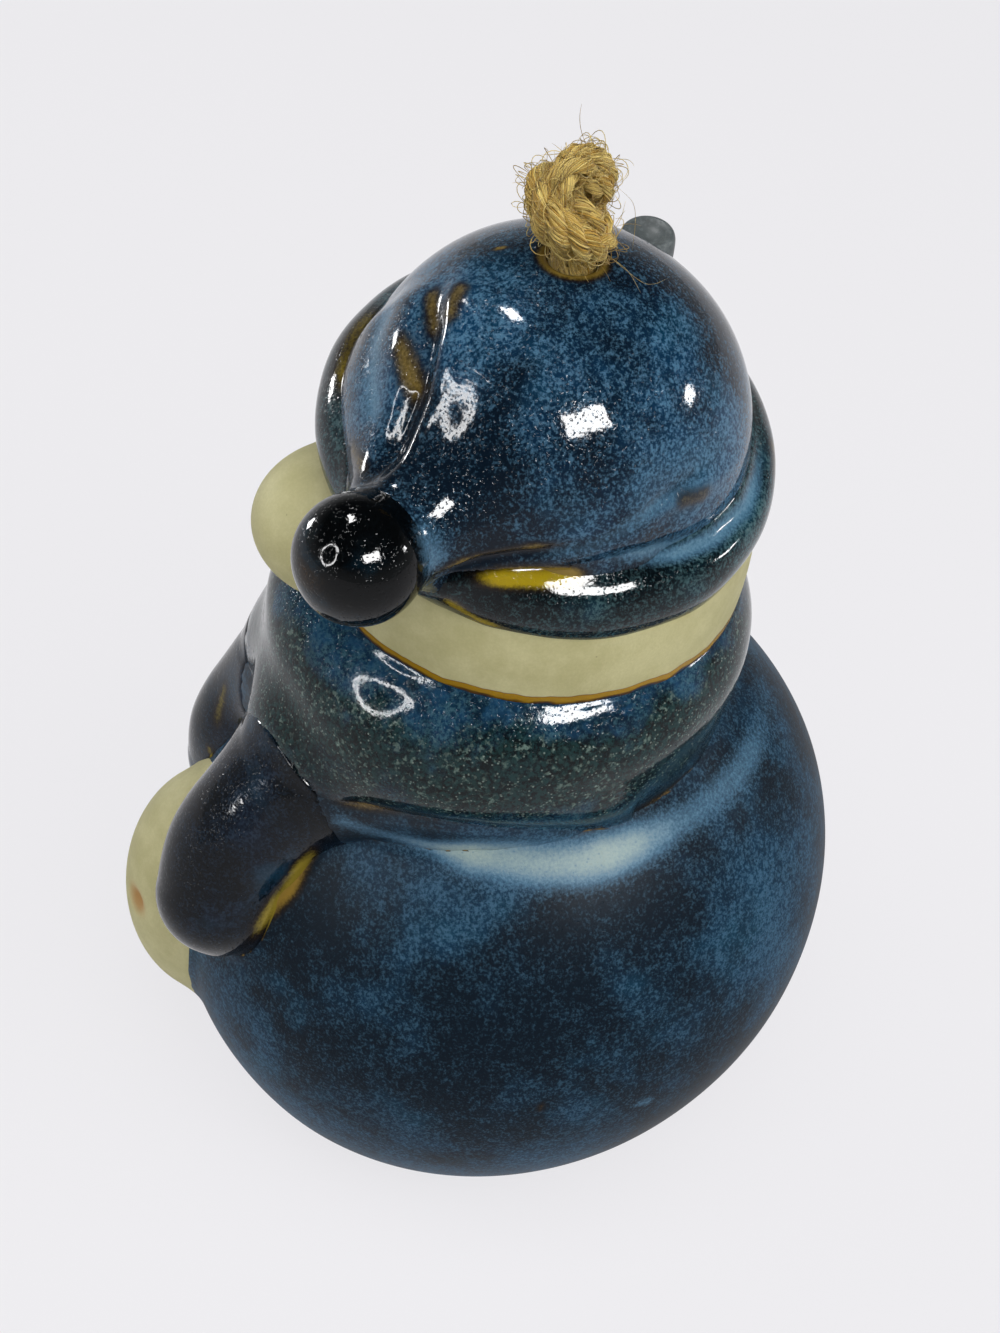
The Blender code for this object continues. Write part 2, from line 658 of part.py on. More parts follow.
def main():
    clear_scene()
    parts = new_collection("snowman_bell_ornament")
    cutters = new_collection("cutters", hidden=True)
    blue = material("floating_blue_glaze", GLAZE_BLUE, 0.12)
    dark = material("dark_blue_glaze", GLAZE_DARK, 0.08)
    green = material("green_blue_glaze", GLAZE_GREEN, 0.10)
    clay = material("bare_clay", BARE_CLAY, 0.75)
    jute = material("jute", JUTE, 0.9)
    brown = material("iron_brown", IRON_BROWN, 0.4)

    body_cut = body_space(cutters)
    head_cut = head_space(cutters)
    collar_cut = collar_form("collar_space", cutters, SEAT_GAP)
    tail_cut = tail_form("tail_space", cutters, SEAT_GAP)
    brim_cut = brim_form("brim_space", cutters, SEAT_GAP)
    pom_pom_cut = pom_pom_form("pom_pom_space", cutters, SEAT_GAP)
    belly_cut = belly_form("belly_space", cutters, SEAT_GAP)

    body = bell_body(parts)
    cut(body, neck_hole(cutters))
    finish(body, blue)
    face = head(parts)
    cut(face, body_cut)
    finish(face, clay)
    finish(hat_crown(parts), blue)

    collar = collar_form("scarf_collar", parts)
    cut(collar, body_cut, head_cut)
    finish(collar, green)

    brim = brim_form("hat_brim", parts)
    cut(brim, head_cut, tail_cut)
    finish(brim, dark)

    tail = tail_form("hat_tail", parts)
    cut(tail, head_cut, pom_pom_cut)
    finish(tail, blue)
    finish(pom_pom_form("pom_pom", parts), dark)

    second_tip = stub(parts)
    cut(second_tip, stub_dish(cutters), head_cut, brim_cut)
    finish(second_tip, dark)

    inside_cut = under_collar(cutters)
    for name, stations in (("left_sleeve", LEFT_SLEEVE), ("right_sleeve", RIGHT_SLEEVE)):
        sleeve = sleeve_form(name, stations, parts)
        cut(sleeve, body_cut, inside_cut, collar_cut, belly_cut)
        finish(sleeve, dark)

    belly = belly_form("belly", parts)
    navel = place(NAVEL_ANGLE, NAVEL_REACH, NAVEL_Z)
    navel_cut = ellipsoid("navel_dish", navel, (NAVEL_HALF_SIZE,) * 3, cutters, 16, 12)
    cut(belly, body_cut, navel_cut)
    finish(belly, clay)

    face_nose = nose(parts)
    cut(face_nose, head_cut, collar_cut, brim_cut)
    finish(face_nose, clay)
    for name, side in (("left_eye", 1), ("right_eye", -1)):
        made = eye(name, side, parts)
        cut(made, head_cut)
        finish(made, brown)

    loop = hanging_loop(parts)
    cut(loop, knot_core("knot_space", cutters, SEAT_GAP))
    cut(loop, *knot_turns("turn_space", cutters, SEAT_GAP))
    finish(loop, jute)
    finish(top_knot(parts, cutters), jute)
    pivot_knot = small_knot("stop_knot", STOP_KNOT_Z, STOP_KNOT_RADIUS, 0.3, parts, cutters)
    finish(pivot_knot, jute)
    end_knot = small_knot("end_knot", END_KNOT_Z, END_KNOT_RADIUS, -0.3, parts, cutters)
    tail_end = straight("cord_end", END_KNOT_Z, CORD_END_Z, CORD_RADIUS, cutters)
    combine(end_knot, tail_end, "UNION")
    finish(end_knot, jute)
    finish(clapper(parts), clay)
    top = STOP_KNOT_Z - STOP_KNOT_RADIUS - SEAT_GAP
    bottom = END_KNOT_Z + END_KNOT_RADIUS + SEAT_GAP
    steps = 16
    cord_points = [(0, 0, top + (bottom - top) * i / steps) for i in range(steps + 1)]
    clapper_cord = tube("clapper_cord", cord_points, CORD_RADIUS, parts)
    finish(clapper_cord, jute)

    for made in (*parts.objects, *cutters.objects):
        made.location += Vector((AXIS_X, AXIS_Y, 0))


main()
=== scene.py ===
"""Looks of the glazed stoneware snowman bell ornament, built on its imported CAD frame.

Metres, +Z up. The snowman faces -Y, its own left is +X and the mouth stands at z = 0.
"""

import math
import random

import bmesh
import bpy
from mathutils import Matrix, Vector, noise
from mathutils.bvhtree import BVHTree


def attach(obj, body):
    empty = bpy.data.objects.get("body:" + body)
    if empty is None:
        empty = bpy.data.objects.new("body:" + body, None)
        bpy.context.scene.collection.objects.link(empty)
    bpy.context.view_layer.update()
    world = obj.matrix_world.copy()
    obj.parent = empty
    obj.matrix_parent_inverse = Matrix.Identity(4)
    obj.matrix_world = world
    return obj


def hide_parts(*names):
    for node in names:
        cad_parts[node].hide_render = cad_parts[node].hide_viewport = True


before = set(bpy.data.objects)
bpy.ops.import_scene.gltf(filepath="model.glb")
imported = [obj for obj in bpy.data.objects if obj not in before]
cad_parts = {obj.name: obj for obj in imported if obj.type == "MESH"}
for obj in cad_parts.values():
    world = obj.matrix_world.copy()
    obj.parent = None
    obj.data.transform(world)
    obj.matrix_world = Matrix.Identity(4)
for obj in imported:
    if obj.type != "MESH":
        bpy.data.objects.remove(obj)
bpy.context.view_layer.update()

MM = 0.001

# The axis of the turned forms, as in the CAD frame
AXIS_Y = 0.00205

# Bell body
BODY_RADIUS = 0.0427
BODY_CENTRE_Z = 0.0295
BODY_CENTRE_Y = 0.00135
BODY_LEAN = 0.116
BODY_WALL = 0.005
MOUTH_LIP = 0.005
LIP_ROUNDING = 0.001
NECK_HOLE_RADIUS = 0.0198
HOLE_EASE = 0.0004
CROWN_REACH = 0.0270

# Head and hat crown
HEAD_RADIUS = 0.0257
HEAD_WIDEST_Z = 0.0920
HEAD_TOP_Z = 0.1022
HEAD_TOP_RADIUS = 0.023
HEAD_NECK_RADIUS = 0.0228
HEAD_NECK_Z = 0.0740
HEAD_WALL = 0.004
NECK_FOOT_SHARE = 0.86
HAT_RADIUS = 0.0231
HAT_CENTRE_Z = 0.1051
HAT_WALL = 0.004
CORD_HOLE_RADIUS = 0.0026
HOLE_ROUNDING = 0.0009

# Hat brim, tail, ball and second tip. Rows of numbers, here and below, are in mm.
BRIM_RING_RADIUS = 0.0210
BRIM_ROLL_RADIUS = 0.0060
BRIM_CENTRE_Z = 0.1026
BRIM_TILT = math.radians(11.5)
BRIM_HIGH_ANGLE = -68
TAIL_ANGLE = 46
TAIL_STATIONS = (
    (10.1, 19.0), (15.0, 16.8), (19.0, 13.7), (23.0, 10.2), (27.0, 7.6), (31.0, 6.0), (34.3, 5.4),
)
TAIL_FOLD = ((50, 103.2), (56, 103.7), (61, 104.1), (66, 104.3), (75, 104.4), (84, 104.3), (104, 103.6))
TAIL_HEM_Z = 0.1000
TUCK_DEPTH = 0.0042
TUCK_BLUR = 0.0010
TUCK_START = 57
TUCK_RUN = 5
HEM_BLUR = 0.0015
HEM_REACH = 0.0045
POM_POM_RADIUS = 0.0074
POM_POM_REACH = 0.0343
POM_POM_Z = 0.1068
STUB_ANGLE = 235
STUB_REACH = 0.0212
STUB_TOP_Z = 0.1190
STUB_RADIUS = 0.0031
STUB_DISH = 0.0008
STUB_SPLAY = 0.0015
STUB_FOOT_RISE = 0.001

# Scarf collar
COLLAR_RING_RADIUS = 0.0235
COLLAR_CENTRE_Z = 0.0762
COLLAR_HALF_LENGTH = 0.0114
COLLAR_HALF_THICKNESS = 0.0050
COLLAR_LEAN = math.radians(17.5)
COLLAR_FORWARD = 0.0019
COLLAR_DROP = 0.0016
COLLAR_FOOT = 0.0038
COLLAR_TUCK = 0.0016
COLLAR_FRONT_FOOT = 0.0050
COLLAR_FRONT_FLARE = 0.0020

# Nose, eyes and belly
NOSE_Z = 0.0900
NOSE_REACH = 0.0336
NOSE_HALF_WIDTH = 0.0105
NOSE_HALF_HEIGHT = 0.0092
NOSE_DEPTH = 0.0120
EYE_RADIUS = 0.0016
EYE_ANGLE = 27
EYE_Z = 0.0955
BELLY_CENTRE_Y = -0.0360
BELLY_CENTRE_Z = 0.0258
BELLY_HALF_WIDTH = 0.0120
BELLY_HALF_DEPTH = 0.0124
BELLY_HALF_HEIGHT = 0.0192
NAVEL_ANGLE = 6
NAVEL_REACH = 0.0475
NAVEL_Z = 0.0279
NAVEL_RADIUS = 0.0018
NAVEL_DEPTH = 0.0011

# Sleeves: degrees from the front, and the reach, height and radius of each station in mm
LEFT_SLEEVE = (
    (24.5, 27.5, 61.2, 7.4), (23.5, 30.4, 58.2, 8.1), (22, 34.2, 53.6, 8.5), (21.5, 37.8, 48.0, 8.4),
    (23.5, 40.2, 42.5, 8.0),
)
RIGHT_SLEEVE = (
    (-22.5, 25.0, 61.8, 6.3), (-21, 28.0, 58.0, 6.5), (-20, 32.0, 51.0, 6.9), (-19, 34.8, 44.3, 6.8),
    (-19, 35.9, 38.6, 6.1),
)

# Jute cord. The knot's broad side faces KNOT_FACING, and knot points are in mm:
# across that side, out of it, and height.
CORD_RADIUS = 0.00175
PLY_STRANDS = 22
ROPE_STEP = 0.00042
FINE_FIBRE = 0.000035
COARSE_FIBRE = 0.00005
WISP_STEPS = 12
KNOT_FACING = 78
STOP_KNOT_Z = 0.1199
STOP_KNOT_RADIUS = 0.0036
CLAPPER_RADIUS = 0.0110
CLAPPER_CENTRE_Z = 0.0310
CLAPPER_BORE_RADIUS = 0.0022
END_KNOT_RADIUS = 0.0034
END_KNOT_Z = 0.0168
CORD_END_Z = 0.0095
CLAPPER_CORD_TOP = 0.1160
CLAPPER_CORD_BOTTOM = 0.0205
HANGING_LOOP = (
    (-1.8, 1.2, 134.2), (-2.6, 0.9, 136.6), (-2.3, 0.0, 138.4), (-0.9, -1.4, 139.1), (0.7, -3.2, 138.2),
    (1.7, -4.9, 135.8), (1.6, -5.6, 133.2), (0.4, -3.8, 131.4),
)
KNOT_BAND = (
    (-4.4, 0.2, 136.6), (-3.4, 2.6, 135.4), (-0.8, 3.6, 133.4), (1.6, 2.6, 131.5), (2.6, 0.0, 130.6),
    (1.4, -2.6, 131.6), (-1.2, -3.2, 134.0), (-3.6, -2.0, 136.2),
)
KNOT_STEM = (
    (0.0, 0.0, 123.6), (0.0, 0.0, 126.2), (0.2, 0.2, 128.5), (-0.4, 1.4, 130.2), (-2.2, 2.2, 132.0),
    (-3.8, 1.4, 133.6), (-4.2, -0.6, 135.0), (-2.6, -1.8, 135.6), (-1.0, -0.6, 134.8),
)
KNOT_INNER = (
    (1.4, 0.6, 133.0), (0.6, 1.4, 134.2), (-1.2, 1.0, 134.6), (-2.2, -0.6, 133.6), (-1.2, -1.6, 132.2),
    (0.6, -1.0, 131.8),
)
KNOT_CORE = (
    (2.2, -2.6, 135.2), (0.8, -1.6, 136.8), (-0.8, -2.2, 136.2), (0.4, -3.4, 134.6),
)
STRAY_FIBRES = (
    ((3.6, -0.4, 137.2), (5.4, -0.4, 135.6), (6.0, -0.2, 133.2), (6.1, 0.4, 130.0)),
    ((2.6, 1.0, 130.4), (5.2, 2.0, 129.0), (8.2, 2.6, 127.6), (10.4, 1.4, 127.9)),
    ((2.8, 1.2, 130.0), (5.8, 2.2, 128.8), (7.6, 3.4, 127.0)),
    ((-1.2, 0.0, 139.2), (-3.0, -0.4, 140.2), (-5.2, -0.4, 139.8)),
)

# How far a root sinks into the wall that it grows from, how far a crease shows, and how
# far a piece sinks behind its neighbour's skin
ROOT_DEPTH = 0.0015
CREASE_REACH = 0.0012
FILLET_SINK = 0.00025

# The scarf's rounded shoulder, and its rolled edge on the left: degrees and height of
# the line, under which the body's glaze runs up to it
SHOULDER_RISE = 0.0014
SHOULDER_LIFT = 0.0009
SHOULDER_BULGE = 0.0010
EDGE_BLUR = 0.0006
EDGE_GROOVE = 0.0007
EDGE_GROOVE_WIDTH = 0.0011
EDGE_SWELL = 0.0005
EDGE_SWELL_RISE = 0.0045
EDGE_SWELL_WIDTH = 0.0035
SCARF_EDGE = (
    (-25, 60.0), (10, 63.0), (34, 65.1), (43, 64.8), (50, 65.7), (56, 66.4), (64, 67.2), (72, 67.2),
    (84, 66.5), (94, 65.5), (105, 63.6), (115, 60.0),
)

# Strokes on the hat, where the clay is folded and the glaze thins or pools, and where some
# grooves are darkened with painted shade: how far the surface rises (minus is a groove) and
# half width in mm, mark and its strength, and the route in degrees from the front and mm of reach and
# height
HOLE_RING = tuple((degrees, 3.3, 128.1) for degrees in range(0, 361, 15))
HAT_STROKES = (
    (0.8, 1.8, "thin", 0.08, (
        (-12, 11.9, 125.3), (11, 13.5, 125.3), (24, 15.6, 124.1), (34, 18.4, 121.4), (40, 22.0, 117.7),
        (43, 25.5, 114.9), (44, 29.1, 113.2),
    )),
    # A groove in the fold beside the tail's crest, with painted shade darkening its glaze
    (-1.6, 2.3, "shade", -1.2, (
        (4, 14.3, 124.1), (19, 16.6, 122.8), (28, 18.8, 120.8), (34, 20.8, 119.0), (36, 23.3, 116.7),
        (38, 25.9, 114.0), (38, 28.8, 111.9),
    )),
    (0.0, 1.3, "thin", 0.52, ((8, 11.5, 125.7), (17, 13.5, 124.7), (26, 15.5, 123.4))),
    (0.0, 1.3, "thin", 0.60, (
        (-4, 14.8, 123.5), (6, 15.4, 123.2), (13, 16.0, 122.9), (24, 17.0, 122.0),
    )),
    (0.2, 1.6, "thin", 0.62, (
        (8, 18.7, 120.2), (17, 19.3, 119.6), (25, 20.0, 119.0), (31, 20.7, 118.4), (35, 22.0, 117.2),
    )),
    (-0.4, 2.2, "pool", 0.60, (
        (-25, 19.7, 117.1), (-6, 19.7, 118.3), (4, 20.9, 116.9), (14, 22.1, 115.4), (23, 23.3, 114.2),
        (30, 24.2, 114.0),
    )),
    (0.2, 2.4, "thin", 0.55, (
        (-38, 23.7, 111.3), (-25, 23.3, 111.1), (-17, 23.7, 110.4), (-7, 23.7, 109.9), (5, 24.0, 109.0),
    )),
    (0.1, 1.2, "thin", 0.55, ((20, 25.0, 108.8), (26, 26.2, 109.8), (36, 28.4, 111.6))),
    # A groove where the crown meets the brim, with painted shade darkening its glaze
    (-0.9, 0.9, "shade", -1.2, (
        (56, 30.3, 104.3), (61, 28.5, 104.6), (66, 26.9, 105.8), (75, 25.6, 106.8), (84, 24.1, 107.4),
        (95, 23.3, 108.4), (109, 22.7, 110.8), (127, 21.9, 112.5),
    )),
    (0.3, 0.8, "thin", 0.75, (
        (58, 29.6, 105.4), (66, 27.1, 106.6), (75, 25.7, 107.7), (84, 24.3, 108.2),
    )),
    (0.4, 1.3, "pool", 0.36, (
        (75, 26.0, 106.2), (83, 24.4, 106.9), (92, 23.8, 107.6), (100, 23.3, 109.1), (108, 23.0, 110.5),
        (122, 22.7, 110.7), (151, 22.9, 109.5),
    )),
    (0.2, 1.3, "thin", 0.50, ((117, 22.8, 110.8), (124, 22.8, 110.1), (132, 22.9, 109.5))),
    (-1.0, 1.4, "pool", 0.66, (
        (92, 24.0, 105.4), (105, 23.7, 105.1), (121, 23.7, 103.6), (133, 24.3, 103.2),
        (149, 24.9, 103.4), (159, 24.7, 104.0), (172, 24.4, 105.2),
    )),
    (0.0, 4.2, "pool", 0.32, ((95, 22.2, 113.0), (118, 21.4, 114.5), (140, 21.5, 114.0))),
    (0.0, 1.4, "thin", 1.30, (
        (64, 26.2, 103.0), (75, 25.4, 103.6), (85, 24.5, 103.6), (93, 24.3, 103.3),
    )),
    (-0.4, 2.3, "shade", -0.3, (
        (70, 25.3, 103.6), (85, 24.5, 103.6), (96, 24.4, 103.2), (108, 24.7, 102.6),
    )),
    (0.0, 1.1, "thin", 0.85, ((57, 26.2, 100.0), (61, 26.4, 98.4), (66, 26.2, 96.8), (76, 25.8, 95.8))),
    (0.0, 1.4, "thin", 0.55, ((164, 26.2, 101.5), (172, 26.1, 102.4), (178, 25.6, 104.0))),
    (0.0, 3.4, "thin", 0.34, ((44, 40.5, 109.5), (44, 41.3, 106.0))),
    (0.0, 2.6, "pool", 0.50, ((50, 30.0, 111.2), (57, 30.8, 108.5), (60, 30.0, 106.2))),
    (0.0, 1.0, "thin", 0.80, ((-27, 8.3, 126.6), (-21, 8.2, 126.7))),
    (0.0, 0.9, "thin", 0.95, HOLE_RING),
)

# Darker (minus) and bluer clouds on the hat and the body, some low on the body painted shade:
# degrees from the front, mm of reach, height and radius, and amount
HAT_CLOUDS = (
    (50, 25.4, 114.5, 7.0, -0.9), (66, 27.0, 106.5, 6.0, -0.8), (59, 23.6, 115.2, 5.0, -0.7),
    (47, 20.0, 119.0, 4.0, -0.6), (137, 17.9, 119.5, 4.5, -0.5), (163, 20.2, 116.0, 6.0, -0.4),
    (-51, 10.8, 125.4, 6.0, -0.4), (50, 8.5, 127.1, 6.0, 0.3), (110, 11.4, 125.1, 7.0, 0.3),
    (84, 19.1, 119.7, 5.0, 0.4), (126, 20.2, 116.1, 7.0, 0.5), (136, 22.4, 111.1, 6.0, 0.5),
    (102, 21.4, 113.5, 8.0, 0.5),
)
BODY_CLOUDS_AND_SHADE = (
    (42, 33.3, 51.7, 6.0, -0.9), (52, 36.6, 47.2, 5.5, -0.6), (42, 36.9, 45.8, 5.0, -0.7),
    (88, 37.5, 49.3, 10.0, -0.6), (94, 34.8, 54.2, 6.0, -0.5), (49, 41.7, 27.9, 8.0, -0.3),
    # The first two here, wide and low on the body, are painted shade: darker towards the bottom
    (113, 41.3, 18.8, 16.0, -0.5), (70, 40.0, 15.0, 16.0, -0.5), (56, 39.4, 41.4, 7.0, 0.4),
    (67, 32.1, 55.0, 5.5, 0.4), (109, 36.8, 52.8, 7.0, 0.4), (153, 36.1, 57.6, 10.0, 0.5),
    (130, 40.8, 47.1, 12.0, 0.4), (145, 41.4, 47.4, 12.0, 0.4),
)

# The pale crescent where glaze pooled under the scarf, and its thinner ends
BODY_STROKES = (
    (0.0, 3.2, "pool", 0.95, (
        (63, 27.6, 60.6), (71, 27.4, 60.6), (80, 27.6, 60.8), (90, 28.4, 60.8), (100, 29.0, 61.0),
        (108, 29.2, 61.6), (118, 29.4, 62.4),
    )),
    (0.0, 1.5, "pool", 0.55, (
        (38, 31.8, 62.2), (43, 31.7, 62.0), (49, 29.7, 61.2), (56, 28.5, 60.8), (66, 27.6, 60.8),
        (76, 27.5, 61.0),
    )),
    (0.0, 2.7, "pool", 0.50, (
        (104, 29.1, 61.4), (112, 29.2, 62.0), (120, 29.5, 62.4), (132, 30.0, 62.8), (146, 30.7, 62.9),
        (160, 31.4, 62.8), (175, 31.6, 62.4),
    )),
    (0.0, 3.0, "pool", 0.45, (
        (172, 32.5, 61.0), (-160, 31.8, 61.5), (-130, 30.5, 61.2), (-100, 29.7, 60.6),
        (-70, 29.0, 59.8), (-45, 28.5, 58.5),
    )),
    (0.0, 1.2, "thin", 0.55, ((91, 42.2, 31.7), (93, 42.2, 31.3))),
    (0.0, 1.1, "pool", 0.50, ((109, 42.9, 28.6), (113, 43.0, 27.7))),
)

# The scarf: brown and cloudy places at its front, near the left shoulder
SCARF_STROKES = (
    (0.0, 1.6, "thin", 0.45, ((17, 29.2, 78.1), (26, 27.7, 80.9))),
    (0.0, 1.3, "pool", 0.60, ((61, 28.2, 78.9), (63, 28.2, 78.4))),
    (0.0, 1.5, "pool", 0.70, ((70, 28.0, 79.3), (73, 28.0, 79.0))),
    (0.0, 1.2, "thin", 1.0, (
        (20, 33.6, 66.8), (28, 33.0, 66.2), (34, 32.2, 65.6), (38, 31.2, 65.0), (43, 30.5, 65.1),
        (50, 29.7, 66.0), (57, 29.3, 66.7),
    )),
    (0.0, 0.9, "thin", 0.60, (
        (108, 26.8, 65.2), (124, 26.8, 65.2), (139, 27.2, 65.5), (153, 28.3, 65.4), (172, 30.0, 64.8),
    )),
    (0.0, 4.0, "shade", -1.3, ((22, 32.0, 70.0), (32, 31.8, 69.0), (42, 30.5, 67.0))),
    (0.0, 3.0, "shade", -1.3, ((36, 32.5, 62.0), (42, 31.5, 61.0), (50, 30.0, 60.0))),
)
SLEEVE_STROKES = (
    (0.4, 1.3, "thin", 1.05, (
        (38, 32.2, 60.0), (37, 33.3, 54.5), (36, 35.7, 48.3), (34, 39.2, 43.6), (30, 42.6, 37.6),
        (26, 44.0, 34.5), (22, 44.0, 32.5),
    )),
    (0.0, 1.0, "thin", 0.65, (
        (-13, 35.4, 56.0), (-12, 36.4, 53.5), (-11, 36.9, 51.0), (-10, 37.2, 48.0),
    )),
    (0.0, 0.9, "thin", 0.90, ((-9, 38.1, 45.5), (-8, 38.3, 44.0))),
)

# Camera of the photograph
CAMERA_PLACE = (0.22224, -0.04713, 0.28993)
CAMERA_FACING = 78
CAMERA_RIGHT = (0.9908659, 0.09478649, 0.09591817)
CAMERA_UP = (-0.13485093, 0.69647795, 0.70479336)
FOCAL_PIXELS = 2560
IMAGE_HEIGHT = 1333
SENSOR = 36

# Height that the lamps point at
LAMP_CENTRE_Z = 0.09


def place(degrees, reach, height):
    """The point at that angle from the front, towards the snowman's left."""
    angle = math.radians(degrees)
    return Vector((reach * math.sin(angle), AXIS_Y - reach * math.cos(angle), height))


def station(degrees, reach, height):
    """The same point from a row in mm."""
    return place(degrees, reach * MM, height * MM)


def at_knot(across, outwards, height):
    axis = Vector((0, AXIS_Y, 0))
    side = place(KNOT_FACING + 90, across, 0) - axis
    return place(KNOT_FACING, outwards, height) + side


def select_only(piece):
    bpy.ops.object.select_all(action="DESELECT")
    piece.select_set(True)
    bpy.context.view_layer.objects.active = piece


def edit_all(piece):
    select_only(piece)
    bpy.ops.object.mode_set(mode="EDIT")
    bpy.ops.mesh.select_all(action="SELECT")


def settle(piece, name):
    """Names the new primitive and brings its place into its mesh."""
    piece.name = name
    piece.data.name = name
    select_only(piece)
    bpy.ops.object.transform_apply(location=True, rotation=True, scale=True)
    piece.data.shade_smooth()
    return piece


def linked(name, data):
    """A new object with that data, in the scene."""
    made = bpy.data.objects.new(name, data)
    bpy.context.scene.collection.objects.link(made)
    return made


def closed_up(piece):
    """Joins doubled points and turns every face outwards."""
    edit_all(piece)
    bpy.ops.mesh.remove_doubles(threshold=0.002 * MM)
    bpy.ops.mesh.normals_make_consistent(inside=False)
    bpy.ops.object.mode_set(mode="OBJECT")
    piece.data.shade_smooth()
    return piece


def spun(name, outline, steps):
    """A thrown piece: a closed outline of (radius, height), spun round the axis."""
    count = len(outline)
    mesh = bpy.data.meshes.new(name)
    corners = [(radius, AXIS_Y, height) for radius, height in outline]
    mesh.from_pydata(corners, [(k, (k + 1) % count) for k in range(count)], [])
    piece = linked(name, mesh)
    edit_all(piece)
    bpy.ops.mesh.spin(steps=steps, angle=math.tau, center=(0, AXIS_Y, 0), axis=(0, 0, 1))
    bpy.ops.object.mode_set(mode="OBJECT")
    return closed_up(piece)


def ball(name, centre, halves, segments, rings):
    bpy.ops.object.select_all(action="DESELECT")
    bpy.ops.mesh.primitive_uv_sphere_add(
        segments=segments, ring_count=rings, radius=1, location=centre, scale=halves
    )
    return settle(bpy.context.object, name)


def torus(name, ring_radius, roll_radius, ring_steps, roll_steps):
    bpy.ops.object.select_all(action="DESELECT")
    bpy.ops.mesh.primitive_torus_add(
        major_segments=ring_steps,
        minor_segments=roll_steps,
        major_radius=ring_radius,
        minor_radius=roll_radius,
    )
    return settle(bpy.context.object, name)


def shape(piece, rule):
    """Moves each point of the mesh to where the rule puts it."""
    for vertex in piece.data.vertices:
        vertex.co = rule(vertex.co)
    piece.data.update()
    return piece


def smooth_route(stations, steps, closed=False):
    """Points (and their sizes) on a smooth curve through the stations."""
    count = len(stations)
    route = []
    for i in range(count if closed else count - 1):
        if closed:
            near = [stations[(i + k) % count] for k in (-1, 0, 1, 2)]
        else:
            near = [stations[min(max(i + k, 0), count - 1)] for k in (-1, 0, 1, 2)]
        for k in range(steps):
            t = k / steps
            weights = (
                (-t + 2 * t**2 - t**3) / 2,
                (2 - 5 * t**2 + 3 * t**3) / 2,
                (t + 4 * t**2 - 3 * t**3) / 2,
                (-(t**2) + t**3) / 2,
            )
            point = sum((w * s[0] for w, s in zip(weights, near)), Vector())
            size = sum(w * s[1] for w, s in zip(weights, near))
            route.append((point, size))
    if not closed:
        route.append(stations[-1])
    return route


def rounded_end(point, radius, direction, steps=14):
    cap = []
    for i in range(1, steps + 1):
        angle = math.radians(90) * i / (steps + 0.1)
        centre = point + direction * radius * math.sin(angle)
        cap.append((centre, radius * math.cos(angle)))
    return cap


def rolled(name, stations, steps, sides):
    """A rolled form: a curve whose round section grows and shrinks along it."""
    route = smooth_route(stations, steps)
    direction = (route[-1][0] - route[-2][0]).normalized()
    route += rounded_end(*route[-1], direction)
    curve = bpy.data.curves.new(name, "CURVE")
    curve.dimensions = "3D"
    curve.bevel_depth = 1
    curve.bevel_resolution = sides
    curve.use_fill_caps = True
    spline = curve.splines.new("POLY")
    spline.points.add(len(route) - 1)
    for knot, (point, radius) in zip(spline.points, route):
        knot.co = (*point, 1)
        knot.radius = radius
    select_only(linked(name, curve))
    bpy.ops.object.convert(target="MESH")
    return settle(closed_up(bpy.context.object), name)


def drawn_out(name, route, sides):
    """A straight form drawn out along one line, whose round section changes along it."""
    way = (route[-1][0] - route[0][0]).normalized()
    across = way.orthogonal().normalized()
    up = way.cross(across)
    corners = []
    faces = []
    for row, (point, radius) in enumerate(route):
        for k in range(sides):
            angle = math.tau * k / sides
            corners.append(point + radius * (across * math.cos(angle) + up * math.sin(angle)))
            if row:
                a = (row - 1) * sides + k
                b = (row - 1) * sides + (k + 1) % sides
                faces.append((a, b, b + sides, a + sides))
    last = (len(route) - 1) * sides
    faces += [tuple(reversed(range(sides))), tuple(range(last, last + sides))]
    mesh = bpy.data.meshes.new(name)
    mesh.from_pydata(corners, [], faces)
    return settle(closed_up(linked(name, mesh)), name)


def arc(centre_z, radius, start, end, steps):
    found = []
    for i in range(steps + 1):
        angle = start + (end - start) * i / steps
        found.append((radius * math.cos(angle), centre_z + radius * math.sin(angle)))
    return found


def clipped(value):
    return min(max(value, 0.0), 1.0)


def bell_curve(away, width):
    return math.exp(-((away / width) ** 2))


def wobble(point, size, depth):
    """A slow hand-made unevenness, inwards only."""
    return -depth * (0.5 + 0.5 * noise.noise(point / size))


def head_radius(height):
    if height < HEAD_NECK_Z:
        return HEAD_NECK_RADIUS
    if height < HEAD_WIDEST_Z:
        share = (HEAD_WIDEST_Z - height) / (HEAD_WIDEST_Z - HEAD_NECK_Z)
        return HEAD_RADIUS - (HEAD_RADIUS - HEAD_NECK_RADIUS) * share**2
    share = (height - HEAD_WIDEST_Z) / (HEAD_TOP_Z - HEAD_WIDEST_Z)
    return HEAD_RADIUS - (HEAD_RADIUS - HEAD_TOP_RADIUS) * min(share, 1) ** 2


def body_middle(height):
    """The middle of the leaning body at that height."""
    back = BODY_CENTRE_Y + BODY_LEAN * (height - BODY_CENTRE_Z)
    return Vector((0, AXIS_Y + back, BODY_CENTRE_Z))


def under_skin(point):
    """Keeps a hidden root inside the wall that it grows from, out of the hollow."""
    middle = body_middle(point.z)
    out = point - middle
    depth = BODY_RADIUS - ROOT_DEPTH
    if out.length < depth and point.z < HEAD_NECK_Z:
        point = middle + out * (depth / out.length)
    crown = Vector((0, AXIS_Y, HAT_CENTRE_Z))
    out = point - crown
    if point.z > HAT_CENTRE_Z:
        depth = HAT_RADIUS - ROOT_DEPTH
        return crown + out * (depth / out.length) if out.length < depth else point
    reach = math.hypot(out.x, out.y)
    depth = head_radius(point.z) - ROOT_DEPTH
    if point.z > BODY_CENTRE_Z + BODY_RADIUS * 0.6 and reach < depth:
        out = Vector((out.x, out.y, 0)) * (depth / max(reach, MM))
        return Vector((out.x, AXIS_Y + out.y, point.z))
    return point


